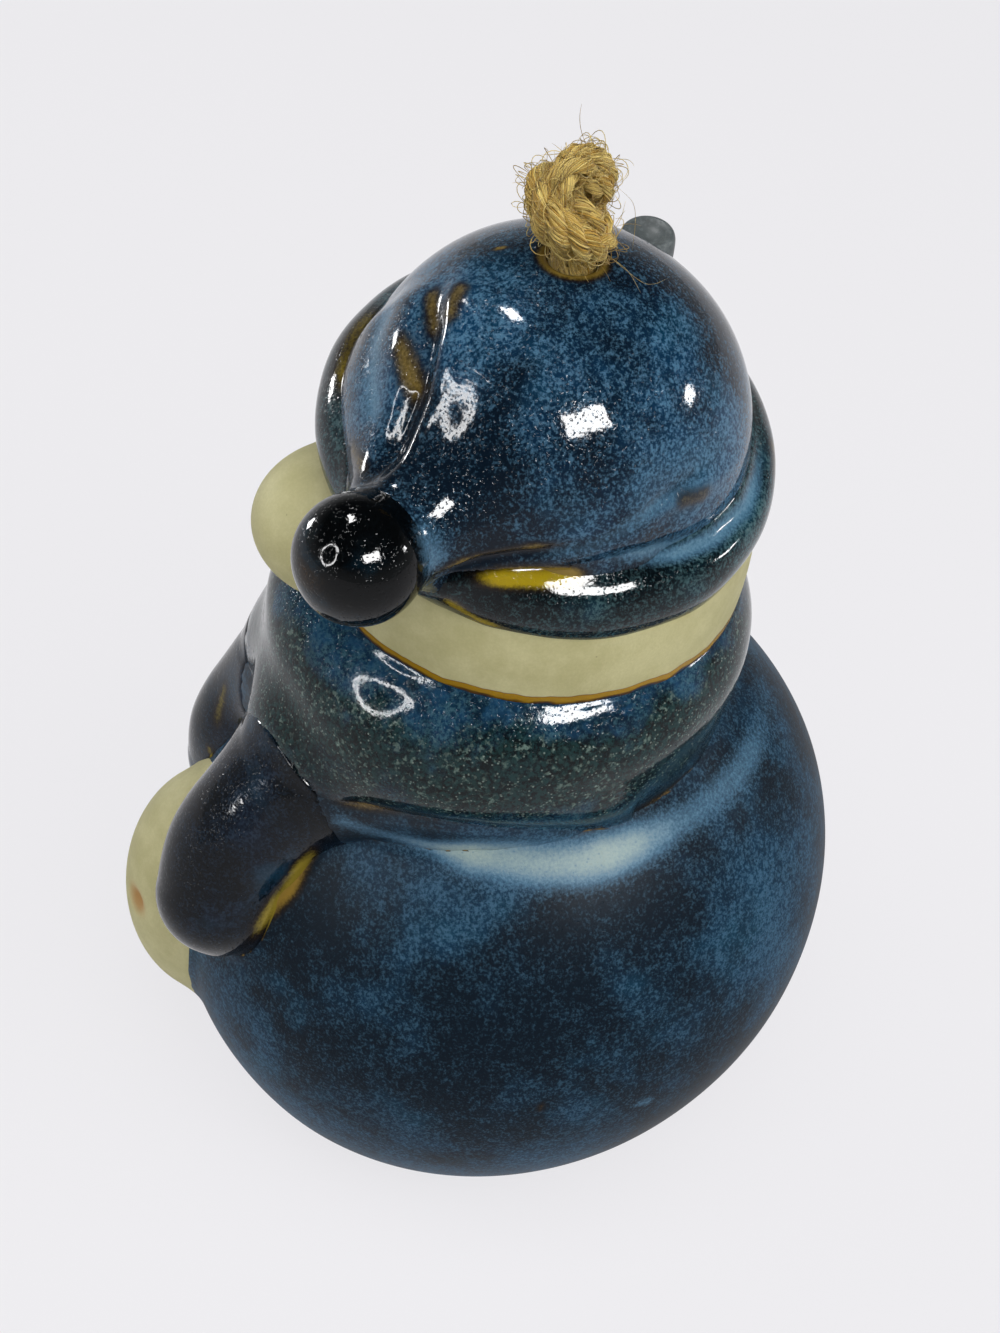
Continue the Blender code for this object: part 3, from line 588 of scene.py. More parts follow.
def leaning(point):
    back = BODY_CENTRE_Y + BODY_LEAN * (point.z - BODY_CENTRE_Z)
    return Vector((point.x, point.y + back, point.z))


def beside_the_hole(point):
    """Slides a point of the crown along its ball, so that the neck hole stays upright
    about the cord while the body leans."""
    out = point - Vector((0, AXIS_Y, BODY_CENTRE_Z))
    across = math.hypot(out.x, out.y)
    if out.z < 0 or across > CROWN_REACH:
        return point
    share = min((CROWN_REACH - across) / (CROWN_REACH - NECK_HOLE_RADIUS), 1)
    rise = out.z
    for _ in range(4):
        back = share * (BODY_CENTRE_Y + BODY_LEAN * rise)
        rise = math.sqrt(out.length ** 2 - out.x ** 2 - (out.y - back) ** 2)
    return Vector((point.x, point.y - back, BODY_CENTRE_Z + rise))


def bell_body():
    inner = BODY_RADIUS - BODY_WALL
    top = math.acos((NECK_HOLE_RADIUS + HOLE_EASE) / BODY_RADIUS)
    foot = math.asin((LIP_ROUNDING - BODY_CENTRE_Z) / BODY_RADIUS)
    outer_edge = BODY_RADIUS * math.cos(foot)
    inner_edge = outer_edge - MOUTH_LIP
    inner_top = math.acos(NECK_HOLE_RADIUS / inner)
    outline = arc(BODY_CENTRE_Z, BODY_RADIUS, top, foot, 104)
    for turn in (20, 45, 70):
        angle = math.radians(turn)
        reach = outer_edge - LIP_ROUNDING * (1 - math.cos(angle))
        outline.append((reach, LIP_ROUNDING * (1 - math.sin(angle))))
    outline += [(outer_edge - LIP_ROUNDING, 0), (inner_edge + LIP_ROUNDING, 0)]
    outline += [(inner_edge + LIP_ROUNDING / 3, LIP_ROUNDING / 3), (inner_edge, LIP_ROUNDING)]
    low = -math.acos(inner_edge / inner)
    outline += arc(BODY_CENTRE_Z, inner, low, inner_top, 40)
    piece = spun("bell_body_skin", outline, 300)

    def uneven(point):
        out = point - Vector((0, AXIS_Y, BODY_CENTRE_Z))
        sunk = wobble(point, 0.016, 0.00022) * min(point.z / 0.004, 1)
        if out.length > BODY_RADIUS - BODY_WALL / 2:
            point = point + out.normalized() * sunk
        return leaning(beside_the_hole(point))

    return shape(piece, uneven)


def head():
    heights = [HEAD_TOP_Z + (HEAD_NECK_Z - HEAD_TOP_Z) * i / 38 for i in range(39)]
    bottom = BODY_CENTRE_Z + BODY_RADIUS * NECK_FOOT_SHARE
    outline = [(head_radius(height), height) for height in heights]
    outline += [(HEAD_NECK_RADIUS, bottom), (NECK_HOLE_RADIUS, bottom)]
    for height in heights[::-4]:
        outline.append((max(head_radius(height) - HEAD_WALL, NECK_HOLE_RADIUS), height))
    piece = spun("head_skin", outline, 200)

    def uneven(point):
        out = point - Vector((0, AXIS_Y, point.z))
        return point + out.normalized() * wobble(point, 0.011, 0.00018)

    return shape(piece, uneven)


def hat_crown():
    inner = HAT_RADIUS - HAT_WALL
    edge = HEAD_TOP_Z - HAT_CENTRE_Z
    rim = CORD_HOLE_RADIUS + HOLE_ROUNDING
    outline = arc(HAT_CENTRE_Z, HAT_RADIUS, math.asin(edge / HAT_RADIUS), math.acos(rim / HAT_RADIUS), 62)
    top = outline[-1][1]
    for turn in (25, 50, 75, 90):
        angle = math.radians(turn)
        reach = rim - HOLE_ROUNDING * math.sin(angle)
        outline.append((reach, top - HOLE_ROUNDING * (1 - math.cos(angle))))
    outline += arc(HAT_CENTRE_Z, inner, math.acos(CORD_HOLE_RADIUS / inner), math.asin(edge / inner), 20)
    piece = spun("hat_crown_skin", outline, 216)

    def uneven(point):
        out = point - Vector((0, AXIS_Y, HAT_CENTRE_Z))
        if out.length < HAT_RADIUS - HAT_WALL / 2:
            return point
        return point + out.normalized() * wobble(point, 0.012, 0.00025)

    return shape(piece, uneven)


def height_on(line, degrees):
    """Height of a line of (degrees, mm) at that angle, or the floor's where it has none."""
    for (first, low), (second, high) in zip(line, line[1:]):
        if first <= degrees <= second:
            return (low + (high - low) * (degrees - first) / (second - first)) * MM
    return 0.0


def scarf_collar():
    piece = torus("scarf_collar_skin", 1, 0.3, 380, 100)
    bands = []
    aprons = []

    def lie(point):
        angle = math.atan2(point.x, -point.y)
        turn = math.radians(90) - math.atan2(point.z, math.hypot(point.x, point.y) - 1)
        bands.append(abs((turn + math.pi) % math.tau - math.pi) / math.pi)
        ring = COLLAR_RING_RADIUS + COLLAR_FORWARD * math.cos(angle)
        level = COLLAR_CENTRE_Z - COLLAR_DROP * math.cos(angle)
        along = COLLAR_HALF_LENGTH * math.cos(turn)
        across = COLLAR_HALF_THICKNESS * math.sin(turn)
        reach = ring - along * math.sin(COLLAR_LEAN) + across * math.cos(COLLAR_LEAN)
        height = level + along * math.cos(COLLAR_LEAN) + across * math.sin(COLLAR_LEAN)
        front = max(math.cos(angle), 0.0) ** 2
        low = max(-math.cos(turn), 0.0) ** 2
        reach += low * (COLLAR_FRONT_FLARE * front - COLLAR_TUCK * (1 - front))
        height -= low * (COLLAR_FOOT + COLLAR_FRONT_FOOT * front)
        there = place(math.degrees(angle), reach, height)
        outside = math.sin(turn) > 0
        if outside:
            reach += wobble(there, 0.008, 0.00045)
            reach += SHOULDER_RISE * bell_curve(math.degrees(turn) - 84, 26)
            height += SHOULDER_LIFT * bell_curve(math.degrees(turn) - 66, 18)
            local = bell_curve(math.degrees(angle) - 50, 20)
            reach += SHOULDER_BULGE * local * bell_curve(math.degrees(turn) - 108, 30)
        edge = height_on(SCARF_EDGE, math.degrees(angle))
        aprons.append(clipped((edge - height) / EDGE_BLUR))
        if outside:
            reach -= EDGE_GROOVE * bell_curve(height - edge, EDGE_GROOVE_WIDTH)
            reach += EDGE_SWELL * bell_curve(height - edge - EDGE_SWELL_RISE, EDGE_SWELL_WIDTH)
        there = place(math.degrees(angle), reach, height)
        return under_skin(there)

    shape(piece, lie)
    mark(piece, "band", bands)
    mark(piece, "apron", aprons)
    return piece


def hat_brim():
    piece = torus("hat_brim_skin", BRIM_RING_RADIUS, BRIM_ROLL_RADIUS, 216, 60)
    axis = place(BRIM_HIGH_ANGLE - 90, 1, 0) - Vector((0, AXIS_Y, 0))
    tilt = Matrix.Rotation(BRIM_TILT, 3, axis)

    def lie(point):
        middle = Vector((point.x, point.y, 0)).normalized() * BRIM_RING_RADIUS
        out = (point - middle).normalized()
        point = point + out * wobble(point, 0.009, 0.00035)
        point = tilt @ point
        return under_skin(point + Vector((0, AXIS_Y, BRIM_CENTRE_Z)))

    return shape(piece, lie)


def tucked(point):
    """Draws the tail's flank in under its fold, and its underside into the head."""
    out = Vector((point.x, point.y - AXIS_Y, 0))
    degrees = math.degrees(math.atan2(out.x, -out.y))
    sunk = clipped((height_on(TAIL_FOLD, degrees) - point.z) / TUCK_BLUR) * TUCK_DEPTH
    sunk *= clipped((degrees - TUCK_START) / TUCK_RUN)
    hem = clipped((TAIL_HEM_Z - point.z) / HEM_BLUR)
    if out.length < HEAD_RADIUS + HEM_REACH:
        sunk = max(sunk, hem * max(out.length - head_radius(point.z) + ROOT_DEPTH, 0.0))
    out *= (out.length - sunk) / out.length
    return under_skin(Vector((out.x, AXIS_Y + out.y, point.z)))


def hat_tail():
    rise = (POM_POM_Z - HAT_CENTRE_Z) / POM_POM_REACH
    stations = []
    for reach, radius in TAIL_STATIONS:
        height = HAT_CENTRE_Z + rise * reach * MM
        stations.append((place(TAIL_ANGLE, reach * MM, height), radius * MM))
    first, widest = stations[0]
    route = [(first, widest * (0.02 + 0.98 * i / 22)) for i in range(22)]
    piece = drawn_out("hat_tail_skin", route + smooth_route(stations, 12), 200)
    return shape(piece, under_skin)


def pom_pom():
    centre = place(TAIL_ANGLE, POM_POM_REACH, POM_POM_Z)
    piece = ball("pom_pom_skin", centre, (POM_POM_RADIUS,) * 3, 88, 56)
    return shape(piece, lambda p: p + (p - centre).normalized() * wobble(p, 0.006, 0.0003))


def hat_stub():
    top = place(STUB_ANGLE, STUB_REACH, STUB_TOP_Z)
    base = place(STUB_ANGLE, STUB_REACH + STUB_SPLAY, BRIM_CENTRE_Z + STUB_FOOT_RISE)
    stations = [
        (base, STUB_RADIUS * 1.25),
        (base.lerp(top, 0.5), STUB_RADIUS),
        (base.lerp(top, 0.85), STUB_RADIUS * 1.06),
        (base.lerp(top, 0.96), STUB_RADIUS * 1.04),
        (top, STUB_RADIUS * 0.90),
        (top - Vector((0, 0, STUB_DISH * 0.15)), STUB_RADIUS * 0.72),
        (top - Vector((0, 0, STUB_DISH * 0.7)), STUB_RADIUS * 0.45),
        (top - Vector((0, 0, STUB_DISH)), STUB_RADIUS * 0.06),
    ]
    piece = drawn_out("hat_stub_skin", smooth_route(stations, 7), 48)
    return shape(piece, under_skin)


def sleeve(name, stations):
    route = [(station(*row[:3]), row[3] * MM) for row in stations]
    return shape(rolled(name, route, 16, 34), under_skin)


def belly():
    centre = Vector((0, AXIS_Y + BELLY_CENTRE_Y, BELLY_CENTRE_Z))
    halves = (BELLY_HALF_WIDTH, BELLY_HALF_DEPTH, BELLY_HALF_HEIGHT)
    piece = ball("belly_skin", centre, halves, 110, 80)
    navel = place(NAVEL_ANGLE, NAVEL_REACH, NAVEL_Z)

    def dimpled(point):
        near = (point - navel).length / NAVEL_RADIUS
        inwards = (centre - point).normalized()
        return under_skin(point + inwards * NAVEL_DEPTH * math.exp(-(near**2) * 1.6))

    return shape(piece, dimpled)


def nose():
    centre = Vector((0, AXIS_Y - NOSE_REACH + NOSE_DEPTH, NOSE_Z))
    halves = (NOSE_HALF_WIDTH, NOSE_DEPTH, NOSE_HALF_HEIGHT)
    piece = ball("nose_skin", centre, halves, 84, 56)
    return shape(piece, under_skin)


def eye(name, side):
    centre = place(side * EYE_ANGLE, head_radius(EYE_Z) + EYE_RADIUS * 0.2, EYE_Z)
    return ball(name, centre, (EYE_RADIUS,) * 3, 32, 20)


def clapper():
    start = math.acos(CLAPPER_BORE_RADIUS / CLAPPER_RADIUS)
    outline = arc(CLAPPER_CENTRE_Z, CLAPPER_RADIUS, start, -start, 40)
    piece = spun("clapper_skin", outline, 96)

    def uneven(point):
        out = point - Vector((0, AXIS_Y, point.z))
        if out.length < CLAPPER_BORE_RADIUS * 1.3:
            return point
        return point + out.normalized() * wobble(point, 0.005, 0.0003)

    return shape(piece, uneven)


def stained(point, middle):
    away = (point - middle).length / NAVEL_RADIUS
    return min(0.9 * math.exp(-(away**4) / 1.6), 1.0)


def rooted(point):
    """Whether a point is part of a hidden root, which sits just under the skin."""
    deep = Vector((0, AXIS_Y, BODY_CENTRE_Z if point.z < HEAD_NECK_Z - 0.008 else HEAD_WIDEST_Z))
    inner = point + (deep - point).normalized() * 0.0002
    return (under_skin(inner) - inner).length > 0.00005


def tree_of(piece):
    """A search tree of a piece's surface without its hidden roots."""
    mesh = piece.data
    points = [vertex.co.copy() for vertex in mesh.vertices]
    hidden = [rooted(point) for point in points]
    faces = [face.vertices[:] for face in mesh.polygons]
    return BVHTree.FromPolygons(points, [face for face in faces if not all(hidden[k] for k in face)])


def rise_at(tree, point, normal, width):
    """How far a point rises to the fillet with a neighbour, and its gap to it."""
    risen = 0.0
    gap = width
    for _ in range(4):
        here = point + normal * risen
        spot, facing, _, _ = tree.find_nearest(here, width * 1.6)
        if spot is None:
            return risen, gap
        away = here - spot
        depth = math.copysign(away.length, away.dot(facing))
        gap = depth - risen
        near = max(1 - abs(gap) / width, 0.0)
        level = min(depth, risen) - near * near * width / 4
        sunk = clipped(-gap / (0.3 * width)) * FILLET_SINK
        highest = width / 4 if gap > 0 else width / 4 * max(1 + gap / width, 0)
        risen = min(max(risen - level - sunk, 0.0), highest)
    return risen, gap


def beside_line(point, line):
    """How far a point is from a route of straight steps, and how far along it that is."""
    nearest = 1.0
    reached = 0.0
    for number, (first, second) in enumerate(zip(line, line[1:])):
        along = second - first
        share = clipped((point - first).dot(along) / along.length_squared)
        away = (point - first - along * share).length
        if away < nearest:
            nearest = away
            reached = (number + share) / (len(line) - 1)
    return nearest, reached


def brushed(piece, strokes, clouds=()):
    """Pulls the folds into a piece and marks where its glaze is thin, pooled or dark, and where shade is
    painted into it.
    """
    vertices = piece.data.vertices
    marks = {name: [0.0] * len(vertices) for name in ("pool", "thin", "shade")}
    moves = [0.0] * len(vertices)
    for rise, width, kind, strength, stations in strokes:
        width *= MM
        line = [station(*row) for row in stations]
        middle = sum(line, Vector()) / len(line)
        far = max((spot - middle).length for spot in line) + 3 * width
        closed = (line[0] - line[-1]).length < 0.1 * MM
        for number, vertex in enumerate(vertices):
            if (vertex.co - middle).length < far:
                away, along = beside_line(vertex.co, line)
                ends = 1.0 if closed else min(0.25 + min(along, 1 - along) / 0.28, 1.0)
                share = bell_curve(away, width) * ends
                moves[number] += rise * MM * share
                marks[kind][number] += strength * share
    for degrees, reach, height, radius, amount in clouds:
        middle = station(degrees, reach, height)
        for number, vertex in enumerate(vertices):
            away = (vertex.co - middle).length
            if away < 2.5 * radius * MM:
                marks["shade"][number] += amount * bell_curve(away, radius * MM)
    normals = [vertex.normal.copy() for vertex in vertices]
    for vertex, normal, move in zip(vertices, normals, moves):
        vertex.co += normal * move
    for name, values in marks.items():
        mark(piece, name, values)
    piece.data.update()


def melt(piece, neighbours, trees):
    """Fillets the piece into its neighbours and keeps how near the lined creases are."""
    mesh = piece.data
    creases = [0.0] * len(mesh.vertices)
    moves = []
    for number, vertex in enumerate(mesh.vertices):
        most = 0.0
        for name, width, lined in [] if rooted(vertex.co) else neighbours:
            risen, gap = rise_at(trees[name], vertex.co, vertex.normal, width)
            most = max(most, risen)
            if lined:
                creases[number] = max(creases[number], 1 - abs(gap) / CREASE_REACH)
        moves.append(vertex.normal * most)
    for vertex, move in zip(mesh.vertices, moves):
        vertex.co += move
    mark(piece, "crease", creases)
    mesh.update()


def mark(piece, name, values):
    """Keeps one number a point, which the materials read."""
    found = piece.data.attributes.get(name) or piece.data.attributes.new(name, "FLOAT", "POINT")
    found.data.foreach_set("value", values)


def distances(piece, tree, limit):
    """Millimetres from each point to a neighbour, up to a limit."""
    found = []
    for vertex in piece.data.vertices:
        _, _, _, distance = tree.find_nearest(vertex.co, limit)
        found.append((limit if distance is None else distance) / MM)
    return found


# Node helpers


class Value:
    """An output in a node tree. Arithmetic with it adds math nodes."""

    def __init__(self, socket):
        self.socket = socket
        self.tree = socket.id_data

    def math(self, operation, other, clamp=False):
        inputs = {0: self, 1: other}
        return put(self.tree, "ShaderNodeMath", 0, inputs, operation=operation, use_clamp=clamp)

    def __add__(self, other):
        return self.math("ADD", other)

    def __sub__(self, other):
        return self.math("SUBTRACT", other)

    def __mul__(self, other):
        return self.math("MULTIPLY", other)


def feed(socket, value):
    """Gives a socket a constant, or links it to a Value."""
    if isinstance(value, Value):
        value.tree.links.new(value.socket, socket)
    else:
        socket.default_value = value


def put(tree, kind, output, inputs=None, **settings):
    """Adds a node with those settings and inputs, and returns one of its outputs."""
    made = tree.nodes.new(kind)
    for name, value in settings.items():
        setattr(made, name, value)
    for name, value in (inputs or {}).items():
        feed(made.inputs[name], value)
    return Value(made.outputs[output])


def mixed(share, first, second):
    return put(share.tree, "ShaderNodeMix", 2, {0: share, 6: first, 7: second}, data_type="RGBA")


def between(value, low, high, first=0.0, second=1.0):
    """A soft step from first to second while the value goes from low to high."""
    inputs = {"Value": value, "From Min": low, "From Max": high, "To Min": first, "To Max": second}
    return put(value.tree, "ShaderNodeMapRange", "Result", inputs, interpolation_type="SMOOTHSTEP")


def grain(where, scale, detail=2.0, roughness=0.5, distortion=0.0):
    inputs = {"Vector": where, "Scale": scale, "Detail": detail, "Roughness": roughness}
    return put(where.tree, "ShaderNodeTexNoise", "Fac", {**inputs, "Distortion": distortion})


def cells(where, scale, output="Distance"):
    inputs = {"Vector": where, "Scale": scale, "Randomness": 1.0}
    return put(where.tree, "ShaderNodeTexVoronoi", output, inputs)


def stretched(where, scales):
    return put(where.tree, "ShaderNodeMapping", "Vector", {"Vector": where, "Scale": scales})


def position(tree):
    return put(tree, "ShaderNodeTexCoord", "Object")


def attribute(tree, name):
    return put(tree, "ShaderNodeAttribute", "Fac", attribute_name=name)


def bumped(surface, height, distance):
    bump = put(height.tree, "ShaderNodeBump", "Normal", {"Height": height, "Distance": distance})
    feed(surface["Normal"], bump)


def colour(hexed):
    """A colour as the photograph shows it, in the linear values that shaders take."""
    found = []
    for start in (0, 2, 4):
        share = int(hexed[start : start + 2], 16) / 255
        found.append(share / 12.92 if share < 0.04045 else ((share + 0.055) / 1.055) ** 2.4)
    return (*found, 1.0)


def new_material(name, values):
    """A material, its tree and the inputs of its surface shader, set to those values."""
    made = bpy.data.materials.new(name)
    made.use_nodes = True
    surface = made.node_tree.nodes["Principled BSDF"].inputs
    for label, value in values.items():
        feed(surface[label], value)
    return made, made.node_tree, surface


# Glazes

GLAZE_COLOURS = ("Deep", "Middle", "Specks", "Pooled", "Thinned")
GLAZE_LEVELS = ("Speck Amount", "Pool", "Thin", "Shade")
GLAZE_RESULTS = (("Color", "Color"), ("Specks", "Float"), ("Height", "Float"))

# Looks: gloss, amount of specks and the five colours
SATIN_LOOK = (0.44, 0.60, "061521", "0c3049", "48708a", "a0b2ae", "8a6f2a")
SCARF_LOOK = (0.06, 0.5, "081622", "12304a", "4f7a86", "8fa9ae", "a08448")
OTHER_LOOKS = (
    ("floating_blue_glaze", 0.06, 0.8, "07131f", "0f3452", "527c98", "93aaaa", "8c7430"),
    ("rolled_blue_glaze", 0.06, 0.6, "050c10", "0c2630", "527478", "86a0a4", "9c8614"),
    ("dark_blue_glaze", 0.05, 0.35, "05080d", "0b1626", "33485e", "6f8a96", "8a7a2a"),
    ("black_glaze", 0.04, 0.10, "020304", "060a0e", "1d2a30", "3a5a6c", "5a3a14"),
    ("grey_stub_glaze", 0.40, 0.5, "4a5051", "5c6263", "7c8484", "9aa0a0", "b0aca0"),
)


def glaze_group():
    """Floating glaze: specks in a deep ground, pale where it pools, brown where it thins."""
    group = bpy.data.node_groups.new("floating_glaze", "ShaderNodeTree")
    ports = [(label, "INPUT", "Color") for label in GLAZE_COLOURS]
    ports += [(label, "INPUT", "Float") for label in GLAZE_LEVELS]
    ports += [(label, "OUTPUT", kind) for label, kind in GLAZE_RESULTS]
    for label, way, kind in ports:
        group.interface.new_socket(label, in_out=way, socket_type="NodeSocket" + kind)
    start = group.nodes.new("NodeGroupInput").outputs
    wanted = group.nodes.new("NodeGroupOutput").inputs
    given = {label: Value(start[label]) for label in GLAZE_COLOURS + GLAZE_LEVELS}
    where = position(group)
    clouds = grain(where, 170, 3, 0.6)
    fine = grain(where, 2600, 3, 0.7)
    coarse = grain(where, 1100, 2, 0.6)
    # The Shade mark darkens or pales the ground: the glaze's own clouds, and painted shade in grooves of
    # the hat and low on the body
    level = grain(where, 42, 2, 0.5, 0.4) * 0.6 + clouds * 0.4 + given["Shade"] * 0.11
    ground = mixed(between(level, 0.40, 0.66), given["Deep"], given["Middle"])
    teal = between(grain(stretched(where, (1.0, 1.3, 1.7)), 75, 2), 0.5, 0.7, 0, 0.6)
    ground = mixed(teal * between(level, 0.42, 0.6), ground, colour("0c3a4e"))
    specks = between(fine * 0.7 + coarse * 0.3 + (level - 0.5) * 0.30, 0.45, 0.64)
    amount = specks * between(level, 0.34, 0.64, 0.45, 1.0)
    amount = amount.math("MULTIPLY", given["Speck Amount"], clamp=True)
    body = mixed(amount, ground, given["Specks"])
    grit = fine - 0.5
    pooled = given["Pool"] + grit * 0.55
    body = mixed(between(pooled, 0.12, 0.75, 0, 0.85), body, colour("557f9c"))
    pinhole = between(cells(where, 1150.0), 0.10, 0.2, 0.6, 1.0)
    body = mixed(between(pooled, 0.45, 1.25) * pinhole, body, given["Pooled"])
    ragged = given["Thin"] + (clouds - 0.5) * 0.45 + grit * 0.5
    body = mixed(between(ragged, 0.08, 0.42, 0, 0.85), body, colour("20170c"))
    body = mixed(between(ragged, 0.34, 0.95), body, given["Thinned"])
    pits = between(grain(where, 3000, 1, 0.5), 0.6, 0.75)
    feed(wanted["Color"], body)
    feed(wanted["Specks"], specks)
    feed(wanted["Height"], grain(where, 800, 2, 0.5) * 0.7 - pits * 0.6)
    return group


def filled(tree, group, thin, amount, *colours):
    """The floating glaze in a material, with its marks and the five colours of its look."""
    use = tree.nodes.new("ShaderNodeGroup")
    use.node_tree = group
    values = {"Speck Amount": amount, "Thin": thin}
    values.update((label, attribute(tree, label.lower())) for label in ("Pool", "Shade"))
    values.update((label, colour(hexed)) for label, hexed in zip(GLAZE_COLOURS, colours))
    for label, value in values.items():
        feed(use.inputs[label], value)
    return {label: Value(use.outputs[label]) for label, _ in GLAZE_RESULTS}


def glaze(name, group, gloss, *look):
    """A glaze of this pot. Creases take a thin tan line, strokes and pools come as marked."""
    shine = 0.06 if gloss == SATIN_LOOK[0] else 0.2
    made, tree, surface = new_material(name, {"IOR": 1.5, "Specular IOR Level": shine})
    where = position(tree)
    line = between(attribute(tree, "crease"), 0.72, 0.93) * between(grain(where, 190, 2), 0.40, 0.60)
    coat = filled(tree, group, attribute(tree, "thin") + line * 0.8, *look)
    feed(surface["Base Color"], coat["Color"])
    feed(surface["Roughness"], coat["Specks"] * 0.06 + gloss)
    bumped(surface, coat["Height"], 0.000035)
    return made, surface, where, coat


def crystal_glaze(name, group, gloss, *look):
    """The scarf's glaze: a blue band on top, then dark green with crystals, and the body's
    satin glaze on the apron under its edge."""
    made, surface, where, coat = glaze(name, group, gloss, *look)
    tree = where.tree
    body = coat["Color"]
    thin = attribute(tree, "thin")
    band = attribute(tree, "band") + (grain(where, 150, 3, 0.6) - 0.5) * 0.5
    inner = between(band, 0.33, 0.45) * between(band, 0.62, 0.80, 1, 0)
    marked = attribute(tree, "pool").math("MAXIMUM", thin)
    inner = inner * between(marked, 0.08, 0.45, 1, 0.15)
    ground = mixed(between(grain(where, 1300, 3, 0.7), 0.40, 0.62), colour("060d0c"), colour("173130"))
    body = mixed(inner * 0.92, body, ground)
    bloom = between(grain(where, 1500, 2, 0.6), 0.52, 0.70)
    patch = between(grain(where, 330, 2, 0.6), 0.38, 0.62)
    body = mixed(bloom * patch * inner * 0.6, body, colour("758a80"))
    bubble = between(cells(where, 1500.0), 0.08, 0.24, 0.4, 0) * inner
    body = mixed(bubble, body, colour("a9b8ae"))
    upper = between(band, 0.10, 0.2) * between(band, 0.28, 0.42, 1, 0)
    strands = between(grain(where, 480, 3, 0.6), 0.40, 0.66, 0.0, 0.6)
    body = mixed(upper * strands, body, colour("1f4a6c"))
    below = attribute(tree, "apron")
    satin_gloss, *satin = SATIN_LOOK
    under = filled(tree, group, thin, *satin)
    feed(surface["Base Color"], mixed(below, body, under["Color"]))
    feed(surface["Roughness"], coat["Specks"] * 0.06 + gloss + below * (satin_gloss - gloss))
    return made


def bare_clay(name, pale, shaded):
    """Unglazed stoneware. Where it meets the glaze it takes a ragged amber edge."""
    made, tree, surface = new_material(name, {"IOR": 1.45, "Specular IOR Level": 0.2})
    where = position(tree)
    body = mixed(between(grain(where, 160, 3, 0.6), 0.3, 0.7), shaded, pale)
    body = mixed(between(grain(where, 3000, 2, 0.6), 0.35, 0.7, 0.12, 0), body, colour("8f8a5e"))
    cell = cells(where, 330.0, "Color")
    chosen = put(tree, "ShaderNodeSeparateColor", 1, {"Color": cell})
    dot = between(cells(where, 330.0), 0.035, 0.07, 0.8, 0) * between(chosen, 0.72, 0.76)
    body = mixed(dot, body, colour("4a3c22"))
    body = mixed(attribute(tree, "stain"), body, colour("b07a3a"))
    edge = attribute(tree, "edge") + (grain(where, 210, 2, 0.5) - 0.5) * 1.25
    for near, far, hexed in (
        (1.16, 1.28, "7a520c"),
        (1.06, 1.18, "a07a10"),
        (0.40, 0.62, "54390e"),
        (0.24, 0.42, "10283c"),
    ):
        body = mixed(between(edge, near, far, 1, 0), body, colour(hexed))
    feed(surface["Base Color"], body)
    feed(surface["Roughness"], between(edge, 1.1, 1.3, 0.1, 0.6))
    bumped(surface, grain(where, 2600, 3, 0.6), 0.00004)
    return made


def stained_clay(name):
    made, tree, surface = new_material(name, {"IOR": 1.5})
    where = position(tree)
    feed(surface["Base Color"], mixed(grain(where, 900, 3, 0.6), colour("2a1608"), colour("6a3a12")))
    feed(surface["Roughness"], between(grain(where, 1500, 2), 0.3, 0.7, 0.2, 0.45))
    bumped(surface, grain(where, 2000, 2), 0.00004)
    return made


def jute(name):
    """Golden bast fibres: each strand has its own tone, with fine lengthwise threads."""
    values = {"Roughness": 0.72, "IOR": 1.45, "Specular IOR Level": 0.2}
    made, tree, surface = new_material(name, {**values, "Sheen Weight": 0.25, "Sheen Roughness": 0.4})
    along = put(tree, "ShaderNodeUVMap", "UV", uv_map="fibre")
    threads = grain(stretched(along, (9.0, 0.35, 1.0)), 1.0, 3, 0.6)
    body = mixed(attribute(tree, "strand"), colour("b88e2c"), colour("f6dc82"))
    body = mixed(between(threads, 0.34, 0.54, 0.65, 0), body, colour("5c3e0e"))
    body = mixed(between(threads, 0.62, 0.8, 0, 0.6), body, colour("fbe8a4"))
    feed(surface["Base Color"], body)
    bumped(surface, threads, 0.00012)
    return made


# Rope


def frames_along(points, closed):
    """A turning frame for each point: two directions square to the cord."""
    count = len(points)
    found = []
    side = None
    for i in range(count):
        before = points[(i - 1) % count if closed else max(i - 1, 0)]
        after = points[(i + 1) % count if closed else min(i + 1, count - 1)]
        along = (after - before).normalized()
        if side is None:
            side = along.orthogonal()
        side = (side - along * side.dot(along)).normalized()
        found.append((side.copy(), along.cross(side)))
    if closed:
        start, end = found[0], found[-1]
        slip = math.atan2(start[0].dot(end[1]), start[0].dot(end[0]))
        for i, (first, second) in enumerate(found):
            angle = slip * i / (count - 1)
            turned = first * math.cos(angle) + second * math.sin(angle)
            found[i] = (turned, second * math.cos(angle) - first * math.sin(angle))
    return found


def evenly(points, gap, closed=False):
    """The same route with points a fixed gap apart."""
    route = list(points) + ([points[0]] if closed else [])
    reached = [0.0]
    for first, second in zip(route, route[1:]):
        reached.append(reached[-1] + (second - first).length)
    count = max(int(reached[-1] / gap), 4)
    found = []
    k = 0
    for i in range(count + (0 if closed else 1)):
        target = reached[-1] * i / count
        while k < len(route) - 2 and reached[k + 1] < target:
            k += 1
        share = (target - reached[k]) / max(reached[k + 1] - reached[k], 1e-9)
        found.append(route[k].lerp(route[k + 1], min(share, 1)))
    return found


